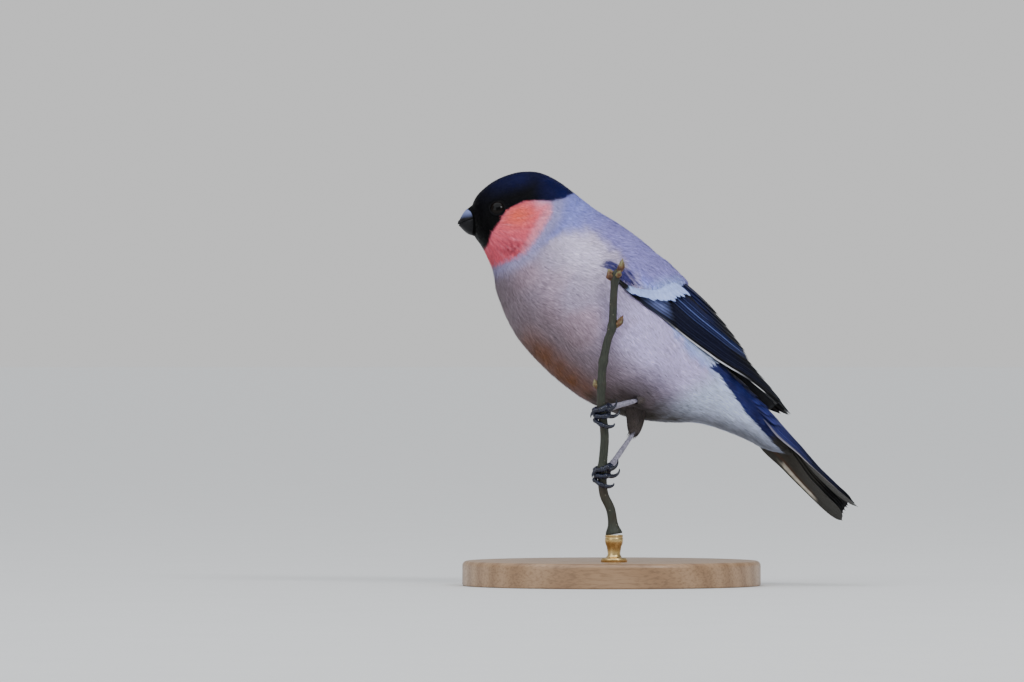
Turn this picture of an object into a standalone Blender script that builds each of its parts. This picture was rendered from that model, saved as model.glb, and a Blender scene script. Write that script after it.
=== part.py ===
"""A life-size still model of a male bullfinch that grips a cut upright stem, on a plain display stand.

The bird is drawn in its own frame, in millimetres: x to its left, y towards its tail, z out of its back.
The TRUNK matrix then pitches that frame head-up and banks it towards the stem. The whole has +Z up, and its
origin is the middle of the stand's underside. The bird looks towards -X, and its left side faces -Y.
"""

import math
from dataclasses import dataclass

import bmesh
import bpy
from mathutils import Matrix, Vector

MM = 0.001
GAP = 0.3

TRUNK_PITCH = 42.5
TRUNK_BANK = 22.0
HEAD_BANK = 8.0
TRUNK_ORIGIN = Vector((0.0, 6.0, 86.0))
# The neck untwists the trunk's bank between these two places along the trunk.
NECK_TWIST_FROM = -36.0
NECK_TWIST_TO = -8.0

BODY_SIDES = 24
# Power of the sections' sine and cosine at places along the back: 1 is an ellipse, less is fuller.
ROUNDNESS = ((-59.0, 0.92), (-55.0, 0.84), (-42.0, 0.86), (-20.0, 0.94))
# How much narrower a section is towards its top than towards its bottom.
BACK_TAPER = 0.05
BODY_RINGS_PER_SECTION = 2

EYE_RADIUS = 3.2
EYE_PLACE = Vector((7.6, -50.1, -0.2))
EYE_FACING = Vector((1.0, -0.42, 0.10))
EYELID_RADIUS = 2.4
EYELID_THICKNESS = 0.38
EYELID_DEPTH = 0.6
EYELID_SIDES = 16
EYELID_EDGES = 5

WING_TIP = 62.4
TAIL_TIP = 98.5
TAIL_HALF_WIDTH = 10.9

STEM_RADIUS = 1.4
STAND_RADIUS = 48.0
STAND_THICKNESS = 8.0
STAND_EDGE = 1.6
BASE_SIDES = 40
ROD_SIDES = 24
FOOT_CHAMFER = 0.6
ROD_RADIUS = 2.0
FLANGE_RADIUS = 4.2
CUP_RADIUS = 2.9
# The rod's cup ends this far below the stem's centre line at its heel.
CUP_CLEARANCE = 0.7


@dataclass(frozen=True)
class Section:
    """A cross-section of the trunk: its top and bottom points in the mid-plane, and its half width."""

    top: tuple
    bottom: tuple
    half_width: float


SECTIONS = (
    Section((-57.4, -4.2), (-50.6, -10.5), 5.6),
    Section((-58.6, -0.5), (-48.6, -10.7), 7.8),
    Section((-58.5, 3.4), (-46.3, -11.2), 9.2),
    Section((-57.7, 7.2), (-43.9, -12.1), 10.0),
    Section((-55.9, 11.4), (-41.0, -13.3), 10.9),
    Section((-53.0, 15.6), (-38.6, -14.6), 11.8),
    Section((-48.5, 19.2), (-36.2, -16.4), 12.9),
    Section((-42.5, 21.1), (-33.2, -18.8), 14.5),
    Section((-35.0, 21.9), (-29.3, -20.9), 17.0),
    Section((-27.5, 22.5), (-24.4, -23.1), 19.4),
    Section((-19.0, 24.0), (-17.9, -25.2), 22.0),
    Section((-9.0, 24.9), (-8.5, -26.3), 23.8),
    Section((1.0, 24.4), (1.0, -26.3), 24.3),
    Section((11.0, 22.4), (10.5, -25.2), 23.5),
    Section((20.0, 19.6), (19.5, -22.4), 21.4),
    Section((28.0, 17.2), (28.0, -18.2), 18.2),
    Section((36.0, 15.2), (36.5, -12.2), 14.6),
    Section((43.0, 13.9), (43.6, -6.0), 11.6),
    Section((50.0, 13.0), (50.8, -2.4), 9.4),
    Section((57.0, 12.3), (57.8, 0.6), 8.0),
    Section((63.0, 11.6), (64.4, 3.0), 6.4),
    Section((67.5, 10.8), (69.6, 5.4), 4.0),
)


def frame_matrix(origin, pitch, bank):
    """The matrix that takes the bird's frame to the row frame: pitched head-up, then banked towards -Y."""
    p = math.radians(pitch)
    b = math.radians(bank)
    tailward = Vector((math.cos(p), 0.0, -math.sin(p)))
    across = Vector((math.sin(p), 0.0, math.cos(p)))
    left = Vector((0.0, -1.0, 0.0)) * math.cos(b) + across * math.sin(b)
    back = across * math.cos(b) - Vector((0.0, -1.0, 0.0)) * math.sin(b)
    turn = Matrix((left, tailward, back)).transposed()
    return Matrix.Translation(origin) @ turn.to_4x4()


TRUNK = frame_matrix(TRUNK_ORIGIN, TRUNK_PITCH, TRUNK_BANK)


def blend(x, points):
    """The value at x on the straight lines through the (x, value) points, level past both ends."""
    if x <= points[0][0]:
        return points[0][1]
    for (x0, v0), (x1, v1) in zip(points, points[1:]):
        if x <= x1:
            t = (x - x0) / (x1 - x0)
            return v0 + (v1 - v0) * t
    return points[-1][1]


def ease(t):
    """Smooth step from 0 to 1."""
    t = min(max(t, 0.0), 1.0)
    return t * t * (3 - 2 * t)


def neck_twist(point):
    """The head stays nearly level: points ahead of the neck turn back about the trunk's axis."""
    share = 1 - ease((point.y - NECK_TWIST_FROM) / (NECK_TWIST_TO - NECK_TWIST_FROM))
    turn = Matrix.Rotation(math.radians(HEAD_BANK - TRUNK_BANK) * -share, 3, "Y")
    return turn @ point


def clear_scene():
    """Empty the scene of the objects it starts with."""
    for item in list(bpy.data.objects):
        bpy.data.objects.remove(item, do_unlink=True)


def material(name, colour, roughness, metallic=0.0):
    """A plain Principled material."""
    made = bpy.data.materials.new(name)
    made.use_nodes = True
    shader = made.node_tree.nodes["Principled BSDF"]
    shader.inputs["Base Color"].default_value = (*colour, 1.0)
    shader.inputs["Roughness"].default_value = roughness
    shader.inputs["Metallic"].default_value = metallic
    return made


def add_object(name, bm, finish=None, smooth_angle=40.0):
    """A mesh object from a bmesh in millimetres of the row frame."""
    bmesh.ops.recalc_face_normals(bm, faces=bm.faces)
    bmesh.ops.scale(bm, vec=(MM, MM, MM), verts=bm.verts)
    mesh = bpy.data.meshes.new(name)
    bm.to_mesh(mesh)
    bm.free()
    mesh.shade_smooth()
    mesh.set_sharp_from_angle(angle=math.radians(smooth_angle))
    if finish:
        mesh.materials.append(finish)
    made = bpy.data.objects.new(name, mesh)
    bpy.context.scene.collection.objects.link(made)
    return made


def place(bm, matrix):
    """Move a bmesh's points by a matrix."""
    bmesh.ops.transform(bm, matrix=matrix, verts=bm.verts)
    return bm


def skin_rings(rings, twin_diagonals=False):
    """A closed bmesh through rings of the same number of points, with flat ends."""
    bm = bmesh.new()
    made = [[bm.verts.new(point) for point in ring] for ring in rings]
    count = len(rings[0])
    for near, far in zip(made, made[1:]):
        for k in range(count):
            a, b = near[k], near[(k + 1) % count]
            c, d = far[(k + 1) % count], far[k]
            if not twin_diagonals:
                bm.faces.new((a, b, c, d))
            elif k < count // 2:
                bm.faces.new((a, b, c))
                bm.faces.new((a, c, d))
            else:
                bm.faces.new((a, b, d))
                bm.faces.new((b, c, d))
    bm.faces.new(made[0][::-1])
    bm.faces.new(made[-1])
    return bm


def tube(points, radii, sides=8):
    """A closed tube along points, with a radius at each, made of rings square to its path."""
    rings = []
    across = None
    for i, point in enumerate(points):
        ahead = points[min(i + 1, len(points) - 1)] - points[max(i - 1, 0)]
        ahead.normalize()
        if across is None:
            across = ahead.orthogonal().normalized()
        across = (across - ahead * across.dot(ahead)).normalized()
        over = ahead.cross(across)
        ring = []
        for k in range(sides):
            angle = 2 * math.pi * k / sides
            ring.append(point + (across * math.cos(angle) + over * math.sin(angle)) * radii[i])
        rings.append(ring)
    return skin_rings(rings)


def catmull(points, steps):
    """Points of a smooth curve through the given ones, with this many steps in each stretch."""
    ends = [points[0] * 2 - points[1], *points, points[-1] * 2 - points[-2]]
    found = []
    for i in range(1, len(ends) - 2):
        p0, p1, p2, p3 = ends[i - 1 : i + 3]
        for k in range(steps):
            t = k / steps
            found.append(
                0.5
                * (
                    p1 * 2
                    + (p2 - p0) * t
                    + (p0 * 2 - p1 * 5 + p2 * 4 - p3) * t * t
                    + (p1 * 3 - p0 - p2 * 3 + p3) * t**3
                )
            )
    found.append(points[-1])
    return found


def largest_body(obj):
    """Keep only the largest closed surface of an object's mesh."""
    bm = bmesh.new()
    bm.from_mesh(obj.data)
    left = set(bm.verts)
    islands = []
    while left:
        start = left.pop()
        island = {start}
        front = [start]
        while front:
            vert = front.pop()
            for edge in vert.link_edges:
                other = edge.other_vert(vert)
                if other in left:
                    left.discard(other)
                    island.add(other)
                    front.append(other)
        islands.append(island)
    islands.sort(key=lambda island: len(island))
    loose = [vert for island in islands[:-1] for vert in island]
    bmesh.ops.delete(bm, geom=loose, context="VERTS")
    bm.to_mesh(obj.data)
    bm.free()


def apply_boolean(obj, operation, others):
    """Join others to obj, or cut them from it, in one Boolean, and remove them."""
    group = bpy.data.collections.new(obj.name + "_pieces")
    for other in others:
        group.objects.link(other)
    modifier = obj.modifiers.new("shape", "BOOLEAN")
    modifier.operation = operation
    modifier.operand_type = "COLLECTION"
    modifier.collection = group
    modifier.solver = "MANIFOLD"
    bpy.context.view_layer.update()
    graph = bpy.context.evaluated_depsgraph_get()
    mesh = bpy.data.meshes.new_from_object(obj.evaluated_get(graph))
    obj.modifiers.clear()
    obj.data = mesh
    for other in others:
        bpy.data.objects.remove(other, do_unlink=True)
    bpy.data.collections.remove(group)
    largest_body(obj)
    return obj


def trunk_rings():
    """Rings of the whole feathered body, from the bill's root to the tips of the tail coverts."""
    rings = []
    for section in SECTIONS:
        top = Vector((0.0, *section.top))
        bottom = Vector((0.0, *section.bottom))
        centre = (top + bottom) / 2
        half = (top - bottom) / 2
        roundness = blend(top.y, ROUNDNESS)
        ring = []
        for k in range(BODY_SIDES):
            angle = 2 * math.pi * k / BODY_SIDES
            side = math.copysign(abs(math.cos(angle)) ** roundness, math.cos(angle))
            rise = math.copysign(abs(math.sin(angle)) ** roundness, math.sin(angle))
            reach = section.half_width * side * (1 - BACK_TAPER * rise)
            ring.append(centre + half * rise + Vector((reach, 0.0, 0.0)))
        rings.append(ring)
    columns = [catmull([ring[k] for ring in rings], BODY_RINGS_PER_SECTION) for k in range(BODY_SIDES)]
    return [[column[i] for column in columns] for i in range(len(columns[0]))]


def cut_between(bm, start=None, end=None):
    """Keep the part of a closed bmesh between two planes, each a (point, normal towards the tail) pair."""
    for plane, keep_tailward in ((start, True), (end, False)):
        if plane is None:
            continue
        point, normal = plane
        shifted = point + normal.normalized() * (GAP / 2 if keep_tailward else -GAP / 2)
        geometry = bm.verts[:] + bm.edges[:] + bm.faces[:]
        bmesh.ops.bisect_plane(
            bm,
            geom=geometry,
            dist=0.0001,
            plane_co=shifted,
            plane_no=normal,
            clear_inner=keep_tailward,
            clear_outer=not keep_tailward,
        )
        rim = [edge for edge in bm.edges if edge.is_boundary]
        bmesh.ops.holes_fill(bm, edges=rim, sides=0)
    return bm


HEAD_CUT = (Vector((0.0, -38.0, 0.0)), Vector((0.0, 1.0, 0.36)))
NECK_CUT = (Vector((0.0, -22.0, 0.0)), Vector((0.0, 1.0, 0.12)))
RUMP_CUT = (Vector((0.0, 25.0, 0.0)), Vector((0.0, 1.0, 0.0)))
TAIL_CUT = (Vector((0.0, 47.5, 0.0)), Vector((0.0, 1.0, 0.0)))


def trunk_part(name, start, end, finish):
    """One length of the trunk between two thin cuts, in place."""
    bm = cut_between(skin_rings(trunk_rings()), start, end)
    for vert in bm.verts:
        vert.co = neck_twist(vert.co)
    return add_object(name, place(bm, TRUNK), finish)


def sphere(centre, radius, segments=12, rings=8):
    """A ball as a bmesh."""
    bm = bmesh.new()
    bmesh.ops.create_uvsphere(bm, u_segments=segments, v_segments=rings, radius=radius)
    return place(bm, Matrix.Translation(centre))


def mirrored(point, side):
    """The point for the left side, or its mirror image for the right one."""
    return Vector((point.x * side, point.y, point.z))


def eyelid(centre, outward):
    """The ring of lid round an eye, as a closed bmesh in the bird's frame."""
    depth = math.sqrt(EYE_RADIUS**2 - EYELID_RADIUS**2)
    middle = centre + outward * (depth + GAP)
    across = outward.orthogonal().normalized()
    over = outward.cross(across)
    bm = bmesh.new()
    loops = []
    for k in range(EYELID_SIDES):
        angle = 2 * math.pi * k / EYELID_SIDES
        spoke = across * math.cos(angle) + over * math.sin(angle)
        loop = []
        for j in range(EYELID_EDGES):
            turn = 2 * math.pi * j / EYELID_EDGES
            reach = EYELID_RADIUS + GAP + EYELID_THICKNESS * (1 + math.cos(turn))
            point = middle + spoke * reach + outward * EYELID_DEPTH * math.sin(turn)
            loop.append(bm.verts.new(neck_twist(point)))
        loops.append(loop)
    for near, far in zip(loops, loops[1:] + loops[:1]):
        for j in range(EYELID_EDGES):
            after = (j + 1) % EYELID_EDGES
            bm.faces.new((near[j], near[after], far[after], far[j]))
    return bm


def build_eyes(head, finish):
    """The eyeballs in their sockets, with a ring of lid round each."""
    for word, side in (("left", 1), ("right", -1)):
        centre = mirrored(EYE_PLACE, side)
        outward = mirrored(EYE_FACING, side).normalized()
        add_object("eye_" + word, place(sphere(neck_twist(centre), EYE_RADIUS), TRUNK), finish)
        socket = sphere(neck_twist(centre), EYE_RADIUS + GAP)
        apply_boolean(head, "DIFFERENCE", [add_object("socket", place(socket, TRUNK))])
        apply_boolean(head, "UNION", [add_object("lid", place(eyelid(centre, outward), TRUNK))])


BILL_ROOT = Vector((0.0, -54.0, -7.4))
BILL_FORWARD = Vector((0.0, -0.686, -0.727))
BILL_UP = Vector((0.0, -0.727, 0.686))


@dataclass(frozen=True)
class BillStation:
    """A section of the closed bill: its place ahead of the root, its heights and half its width."""

    ahead: float
    top: float
    meeting: float
    bottom: float
    half_width: float


BILL_STATIONS = (
    BillStation(-2.2, 4.0, 0.55, -4.0, 3.7),
    BillStation(0.0, 4.3, 0.45, -4.4, 4.0),
    BillStation(1.3, 3.95, 0.30, -4.1, 3.7),
    BillStation(2.5, 3.0, 0.05, -3.2, 3.0),
    BillStation(3.5, 1.75, -0.20, -2.1, 2.1),
    BillStation(4.2, 0.7, -0.45, -1.25, 1.2),
)
BILL_ARCH_POINTS = 12
BILL_FULLNESS = 0.8
# The last ring shrinks towards the hooked tip of the upper half, or the blunter tip of the lower one.
UPPER_TIP = (4.75, -0.75)
LOWER_TIP = (4.5, -0.95)
TIP_SHARE = 0.22
NOSTRIL = (1.15, 3.2)
NOSTRIL_SIDES = (2.3, -2.3)
NOSTRIL_RADIUS = 0.5


def bill_point(ahead, up, side):
    """A point of the bill in the bird's frame."""
    return BILL_ROOT + BILL_FORWARD * ahead + BILL_UP * up + Vector((side, 0.0, 0.0))


def mandible(upper, grow=0.0):
    """One half of the bill: an arched section that narrows to the tip. Grown, it is the pocket cut for it."""
    outwards = 1 if upper else -1
    rings = []
    for station in BILL_STATIONS:
        ahead = station.ahead - grow if station is BILL_STATIONS[0] else station.ahead
        flat = station.meeting + outwards * GAP / 2
        peak = (station.top if upper else station.bottom) + outwards * grow
        ring = []
        for k in range(BILL_ARCH_POINTS):
            angle = math.pi * k / (BILL_ARCH_POINTS - 1)
            rise = math.sin(angle) ** BILL_FULLNESS
            side = (station.half_width + grow) * math.cos(angle)
            ring.append(bill_point(ahead, flat + (peak - flat) * rise, side))
        if grow:
            for side in (-station.half_width / 2, station.half_width / 2):
                ring.append(bill_point(ahead, flat - outwards * grow * 1.2, side))
        rings.append(ring)
    tip = bill_point(*(UPPER_TIP if upper else LOWER_TIP), 0.0)
    rings.append([tip.lerp(point, TIP_SHARE) for point in rings[-1]])
    bm = skin_rings(rings)
    for vert in bm.verts:
        vert.co = neck_twist(vert.co)
    return place(bm, TRUNK)


def build_bill(head, finish):
    """Both mandibles, set in a pocket of the head with the line of the mouth between them."""
    for name, upper in (("bill_upper", True), ("bill_lower", False)):
        half = add_object(name, mandible(upper), finish)
        apply_boolean(head, "DIFFERENCE", [add_object("pocket", mandible(upper, GAP))])
        if upper:
            places = [neck_twist(bill_point(*NOSTRIL, side)) for side in NOSTRIL_SIDES]
            pits = [place(sphere(spot, NOSTRIL_RADIUS, 8, 6), TRUNK) for spot in places]
            apply_boolean(half, "DIFFERENCE", [add_object("pit", pit) for pit in pits])


# The wing's sheet: at each distance along the trunk, an arc round a centre line, from its lower edge upwards.
SHEET_CENTRE = ((-16, -0.5), (0, 0.0), (10, 0.4), (20, 1.8), (30, 3.8), (37, 5.2), (48, 7.1), (63, 8.9))
SHEET_RADIUS = ((-16, 23.2), (0, 24.8), (10, 23.7), (20, 21.3), (30, 18.2), (37, 15.9), (48, 12.9), (63, 9.8))
# Degrees round that arc at which the wing's lower edge lies.
LOWER_EDGE = (
    *((-16, 6), (0, 1), (12, 5), (21, 6.5), (27, 8.5)),
    *((34, 12.5), (39, 18), (48, 33), (55, 45), (63, 58)),
)
# How far up from its lower edge the wing reaches, and how far its inner face lies below its sheet.
WING_HEIGHT = ((-16, 12), (-9, 22), (2, 25.6), (12, 26), (20, 25), (30, 21.6), (38, 18), (46, 11.5), (63, 7))
WING_DEPTH = ((-16, 3.6), (-8, 4.4), (6, 4.0), (20, 3.0), (40, 2.8), (63, 2.7))
# Height of the arm's outer face off the sheet, and how much lower that face is at its two edges.
ARM_SWELL = ((-16, -1.9), (-12, 0.2), (-4, 0.8), (4, 0.4), (14, -0.6), (20, -1.6))
ARM_EDGE_DROP = 1.2
# The arm starts this far up from the lower edge, and the bed this far below it.
ARM_FOOT = 0.3
BED_FOOT = -0.1
BED_HEIGHT = 9.0
BED_FLOOR_GAP = GAP * 1.8
WING_COLUMNS = 5
# Stations of the wing's arm along the trunk, and those of its bed, which go on to the wing's tip.
ARM_STATIONS = (-16.0, -13.0, -9.0, -4.0, 2.0, 8.0, 14.0, 20.0)
BED_STATIONS = (-16.0 - GAP, *ARM_STATIONS[1:], 27.0, 34.0, 41.0, 48.0, 55.0, WING_TIP + GAP)


def sheet_point(along, across, height, side=1):
    """A point of the wing: along the trunk, mm above the wing's lower edge, and mm out from its sheet."""
    radius = blend(along, SHEET_RADIUS)
    angle = math.radians(blend(along, LOWER_EDGE)) + across / radius
    reach = radius + height
    centre = blend(along, SHEET_CENTRE)
    return Vector((side * reach * math.cos(angle), along, centre + reach * math.sin(angle)))


# Share of the length, share of the web widths, and share of the thickness, from the quill to the tip.
FLIGHT_STATIONS = ((0.0, 0.6, 1.0), (0.35, 1.0, 1.0), (0.68, 0.98, 1.0), (0.92, 0.64, 0.8), (1.0, 0.16, 0.5))
COVERT_STATIONS = ((0.0, 0.6, 1.0), (0.45, 1.0, 1.0), (0.85, 0.82, 0.9), (1.0, 0.22, 0.6))
VANE_THICKNESS = 0.6
# The web's edge lags behind the shaft by this share of the width it has lost.
WEB_LAG = 0.35
# The web falls this far from the shaft to its outer edge.
OUTER_DROP = 0.08


@dataclass(frozen=True)
class Vane:
    """A feather on a sheet: the ends of its shaft, the widths of its outer and inner web, and its height.

    The root lies lower by twice sink, and the inner edge lower by drop.
    """

    root: tuple
    tip: tuple
    outer: float
    inner: float
    height: float
    sink: float = 0.3
    drop: float = 0.5
    stations: tuple = COVERT_STATIONS


def vane_mesh(vane, sheet, side=1):
    """The closed mesh of one vane: a ridge at the shaft, and webs split alike on both faces."""
    rings = []
    for share, web, body in vane.stations:
        along = vane.root[0] + (vane.tip[0] - vane.root[0]) * share
        shaft = vane.root[1] + (vane.tip[1] - vane.root[1]) * share
        height = vane.height - vane.sink * (1 - share) ** 2 * 2
        sweep = WEB_LAG * (1 - web) * vane.outer
        outer = (along - sweep, shaft - vane.outer * web, height - OUTER_DROP)
        middle = (along, shaft, height)
        inner = (along - sweep, shaft + vane.inner * web, height - vane.drop * web)
        top = [sheet(*spot, side) for spot in (outer, middle, inner)]
        low = [sheet(x, y, h - VANE_THICKNESS * body, side) for x, y, h in (inner, middle, outer)]
        rings.append(top + low)
    return place(skin_rings(rings, twin_diagonals=True), TRUNK)


def between(first, last, share):
    """The value this share of the way from first to last."""
    return first + (last - first) * share


def primaries():
    """The nine outer flight feathers, the outermost lowest, with their tips in steps."""
    tips = (60.3, 62.0, 62.4, 61.4, 57.6, 53.0, 49.4, 46.4, 43.8)
    for i, tip in enumerate(tips):
        share = i / (len(tips) - 1)
        root = (between(-9.0, 6.0, share), 1.3 + 1.0 * i)
        end = (tip, between(1.3, 7.4, share))
        yield Vane(root, end, 1.3, 4.2 - 0.1 * i, -1.7 + 0.2 * i, stations=FLIGHT_STATIONS)


def secondaries():
    """The six inner flight feathers, which lie over the primaries."""
    for i in range(6):
        share = i / 5
        root = (between(6.0, 3.0, share), 9.6 + 1.1 * i)
        end = (between(42.0, 38.6, share), 8.8 + 0.95 * i)
        yield Vane(root, end, 1.7, 4.4, 0.14 * i, stations=FLIGHT_STATIONS)


def tertials():
    """The three broad feathers that cover the folded wing, each shorter than the one beneath it."""
    for i, (tip, across) in enumerate(((38.2, 15.2), (31.0, 17.8), (23.5, 20.6))):
        yield Vane((2.0 - i, 17.0 + 2.4 * i), (tip, across), 3.0, 3.6, 1.0 + 0.25 * i, drop=0.7)


def greater_coverts():
    """The tier whose pale tips make the wing bar."""
    for i in range(7):
        share = i / 6
        tip = (between(4.0, 15.5, share**1.4), between(3.4, 21.0, share))
        yield Vane((tip[0] - 15.0, tip[1] + 1.0), tip, 2.3, 3.2, -0.1 + 0.25 * i, sink=0.5)


def median_coverts():
    """The short tier ahead of the greater coverts."""
    for i in range(4):
        share = i / 3
        tip = (between(-3.4, 6.0, share), between(4.2, 20.5, share))
        yield Vane((tip[0] - 10.0, tip[1] + 0.8), tip, 3.0, 4.0, 0.9 + 0.3 * i, sink=0.6)


def primary_coverts():
    """The narrow stiff tier over the roots of the primaries, with the alula ahead of it."""
    for i in range(4):
        share = i / 3
        root = (between(-10.0, -6.0, share), 1.6 + 1.0 * i)
        end = (between(15.0, 10.0, share), 1.3 + 1.1 * i)
        yield Vane(root, end, 1.2, 2.2, -0.9 + 0.2 * i)
    for i in range(2):
        yield Vane((-12.5, 1.8 + 1.3 * i), (4.0 - 3.5 * i, 1.5 + 1.2 * i), 1.2, 2.0, -0.3 + 0.22 * i)


def wing_slab(top_height, grow, stations, side, foot):
    """A closed slab on the wing's sheet, as the arm under the coverts or as the bed cut for the whole wing.

    The slab starts foot mm up from the wing's lower edge, and is larger all round by grow.
    """
    shares = [k / WING_COLUMNS for k in range(WING_COLUMNS + 1)]
    rings = []
    for along in stations:
        low = foot - grow
        high = blend(along, WING_HEIGHT) + grow
        floor = -blend(along, WING_DEPTH) - (BED_FLOOR_GAP if grow else 0.0)
        top = [sheet_point(along, between(low, high, k), top_height(along, k), side) for k in shares]
        base = [sheet_point(along, between(high, low, k), floor, side) for k in shares]
        rings.append(top + base)
    return place(skin_rings(rings), TRUNK)


def arm_top(along, share):
    """Outer face of the arm: full over the wrist, lower under the flight feathers and at both edges."""
    swell = math.sin(math.pi * min(max(share, 0.02), 0.98)) ** 0.5
    return blend(along, ARM_SWELL) - ARM_EDGE_DROP * (1 - swell)


def bed_top(along, share):
    """Outer face of the bed's cutter, clear of the trunk."""
    return BED_HEIGHT


def build_wing(word, side, trunk_parts, finish):
    """A folded wing: the arm with its tiers of vanes fused on, in a bed cut from the trunk."""
    wing = add_object("wing_" + word, wing_slab(arm_top, 0.0, ARM_STATIONS, side, ARM_FOOT), finish, 30.0)
    pieces = []
    for tier in (primaries, secondaries, tertials, primary_coverts, greater_coverts, median_coverts):
        for vane in tier():
            pieces.append(add_object("vane", vane_mesh(vane, sheet_point, side)))
    apply_boolean(wing, "UNION", pieces)
    for part in trunk_parts:
        bed = wing_slab(bed_top, GAP, BED_STATIONS, side, BED_FOOT)
        apply_boolean(part, "DIFFERENCE", [add_object("bed", bed)])
    return wing


# The tail's arch: the height of its ridge, and how fast it falls away with the square of the way to the side.
TAIL_RIDGE = ((44, 13.4), (56, 13.2), (64, 12.3), (73, 11.2), (82, 10.3), (91, 10.2), (99, 10.8))
TAIL_FALL = ((44, 0.075), (64, 0.072), (73, 0.047), (82, 0.029), (91, 0.023), (99, 0.025))


def tail_sheet(along, across, height, side=1):
    """A point of the tail: along the trunk, mm inwards from the outer edge, and mm out from the arch."""
    ridge = blend(along, TAIL_RIDGE)
    fall = blend(along, TAIL_FALL)
    reach = TAIL_HALF_WIDTH - across
    return Vector((side * reach, along, ridge + height - fall * reach * reach))


def tail_feathers(side):
    """The six tail feathers of one side, from the outermost, which lies lowest, to the central one."""
    for i in range(6):
        root = (50.5, TAIL_HALF_WIDTH - 5.4 + 0.82 * i)
        outer = 2.05 + 0.35 * i
        tip = (TAIL_TIP - 0.4 * i, i + outer)
        inner = 5.0 if i < 5 else 6.0
        height = 0.4 * (i - 5) - (0.32 if i == 5 and side < 0 else 0.0)
        yield Vane(root, tip, outer, inner, height, sink=0.0, drop=0.1, stations=FLIGHT_STATIONS)


def tail_coverts():
    """The upper tail coverts of one side, which hide the feathers' roots."""
    for i in range(3):
        middle = TAIL_HALF_WIDTH - 0.6 - 1.9 * i
        yield Vane((48.6, middle), (66.5 - 4.0 * i, middle - 0.6), 2.2, 1.9, 0.75 + 0.2 * i, sink=0.4)


def build_tail(finish):
    """The tail: twelve feathers on an arch, rooted in the body, under their coverts."""
    tail = trunk_part("tail", TAIL_CUT, None, finish)
    pieces = []
    for side in (1, -1):
        for vane in (*tail_feathers(side), *tail_coverts()):
            pieces.append(add_object("vane", vane_mesh(vane, tail_sheet, side)))
    return apply_boolean(tail, "UNION", pieces)


# The stem's centre line in the row frame, from its cut heel to its tip.
STEM_PATH = tuple(
    Vector(point)
    for point in (
        (0.6, -18.6, 17.0),
        (-0.4, -18.8, 24.5),
        (-2.7, -19.0, 30.0),
        (-3.1, -19.3, 37.5),
        (-2.4, -19.8, 48.2),
        (-3.5, -20.4, 58.2),
        (-3.4, -20.8, 65.2),
        (-3.0, -21.2, 71.0),
        (-1.5, -21.6, 78.6),
        (0.0, -21.8, 83.5),
        (0.5, -22.1, 93.7),
        (1.3, -22.3, 101.5),
    )
)


def stem_centre(height):
    """The stem's centre at a height above the floor."""
    curve = catmull(list(STEM_PATH), 6)
    for low, high in zip(curve, curve[1:]):
        if low.z <= height <= high.z:
            return low.lerp(high, (height - low.z) / (high.z - low.z))
    return curve[-1]


def stem_side(height, turn, reach):
    """A point beside the stem: turn is 0 towards +X and 90 towards the viewer at -Y."""
    angle = math.radians(turn)
    return stem_centre(height) + Vector((math.cos(angle), -math.sin(angle), 0.0)) * reach


@dataclass(frozen=True)
class Bud:
    """A bud on the stem: its height, the way it faces, its length, its width, and how far it leans out."""

    height: float
    turn: float
    length: float
    width: float
    lean: float


BUDS = (
    Bud(99.4, 170, 5.2, 1.35, 0.35),
    Bud(100.6, 20, 6.4, 1.2, 0.25),
    Bud(83.0, 5, 6.0, 1.15, 0.75),
    Bud(63.2, 178, 4.8, 1.0, 0.4),
)
# Share of a bud's length, and share of its width there.
BUD_SHAPE = ((0.0, 0.6), (0.2, 0.95), (0.45, 1.0), (0.7, 0.7), (0.9, 0.35), (1.0, 0.15))
BUD_ROOT = 0.6
# Heights of the stem's nodes, and how far and how long each swells.
NODES = (17.0, 38.0, 64.5, 72.0, 83.0, 98.0)
NODE_SWELL = 0.28
NODE_LENGTH = 1.6
HEEL_SWELL = (1.0, 0.5)
STEM_TAPER = (0.1, -0.2)
STEM_SIDES = 8


def build_stem(finish):
    """The cut stem with its swollen nodes and buds."""
    points = catmull(list(STEM_PATH), 2)
    heel, top = points[0].z, points[-1].z
    radii = []
    for point in points:
        knot = max(math.exp(-(((point.z - z) / NODE_LENGTH) ** 2)) for z in NODES)
        taper = between(*STEM_TAPER, (point.z - heel) / (top - heel))
        radii.append(STEM_RADIUS + taper + NODE_SWELL * knot)
    for i, swell in enumerate(HEEL_SWELL):
        radii[i] += swell
    stem = add_object("stem", tube(points, radii, STEM_SIDES), finish)
    pieces = []
    for bud in BUDS:
        base = stem_side(bud.height, bud.turn, BUD_ROOT)
        out = stem_side(bud.height, bud.turn, 1.0) - stem_centre(bud.height)
        axis = (out * bud.lean + Vector((0.0, 0.0, 1.0))).normalized()
        spine = [base + out * BUD_ROOT * ease(t * 2) + axis * bud.length * t for t, _ in BUD_SHAPE]
        pieces.append(add_object("bud", tube(spine, [bud.width * width for _, width in BUD_SHAPE], 7)))
    return apply_boolean(stem, "UNION", pieces)


@dataclass(frozen=True)
class Leg:
    """One leg in the row frame: the inner end of the feathered shin, the ankle, and where the foot grips."""

    hip: tuple
    ankle: tuple
    grip: float
    palm_turn: float


LEGS = {
    "left": Leg((8.0, 0.5, 70.5), (11.2, -12.7, 60.3), 54.8, -34.0),
    "right": Leg((0.0, 5.5, 66.0), (7.2, -6.5, 49.4), 35.7, -38.0),
}


@dataclass(frozen=True)
class Toe:
    """One toe: its sweep round the stem, its heights at the palm and the end, its radius and its claw."""

    sweep: float
    start: float
    end: float
    radius: float
    claw: float


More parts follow.
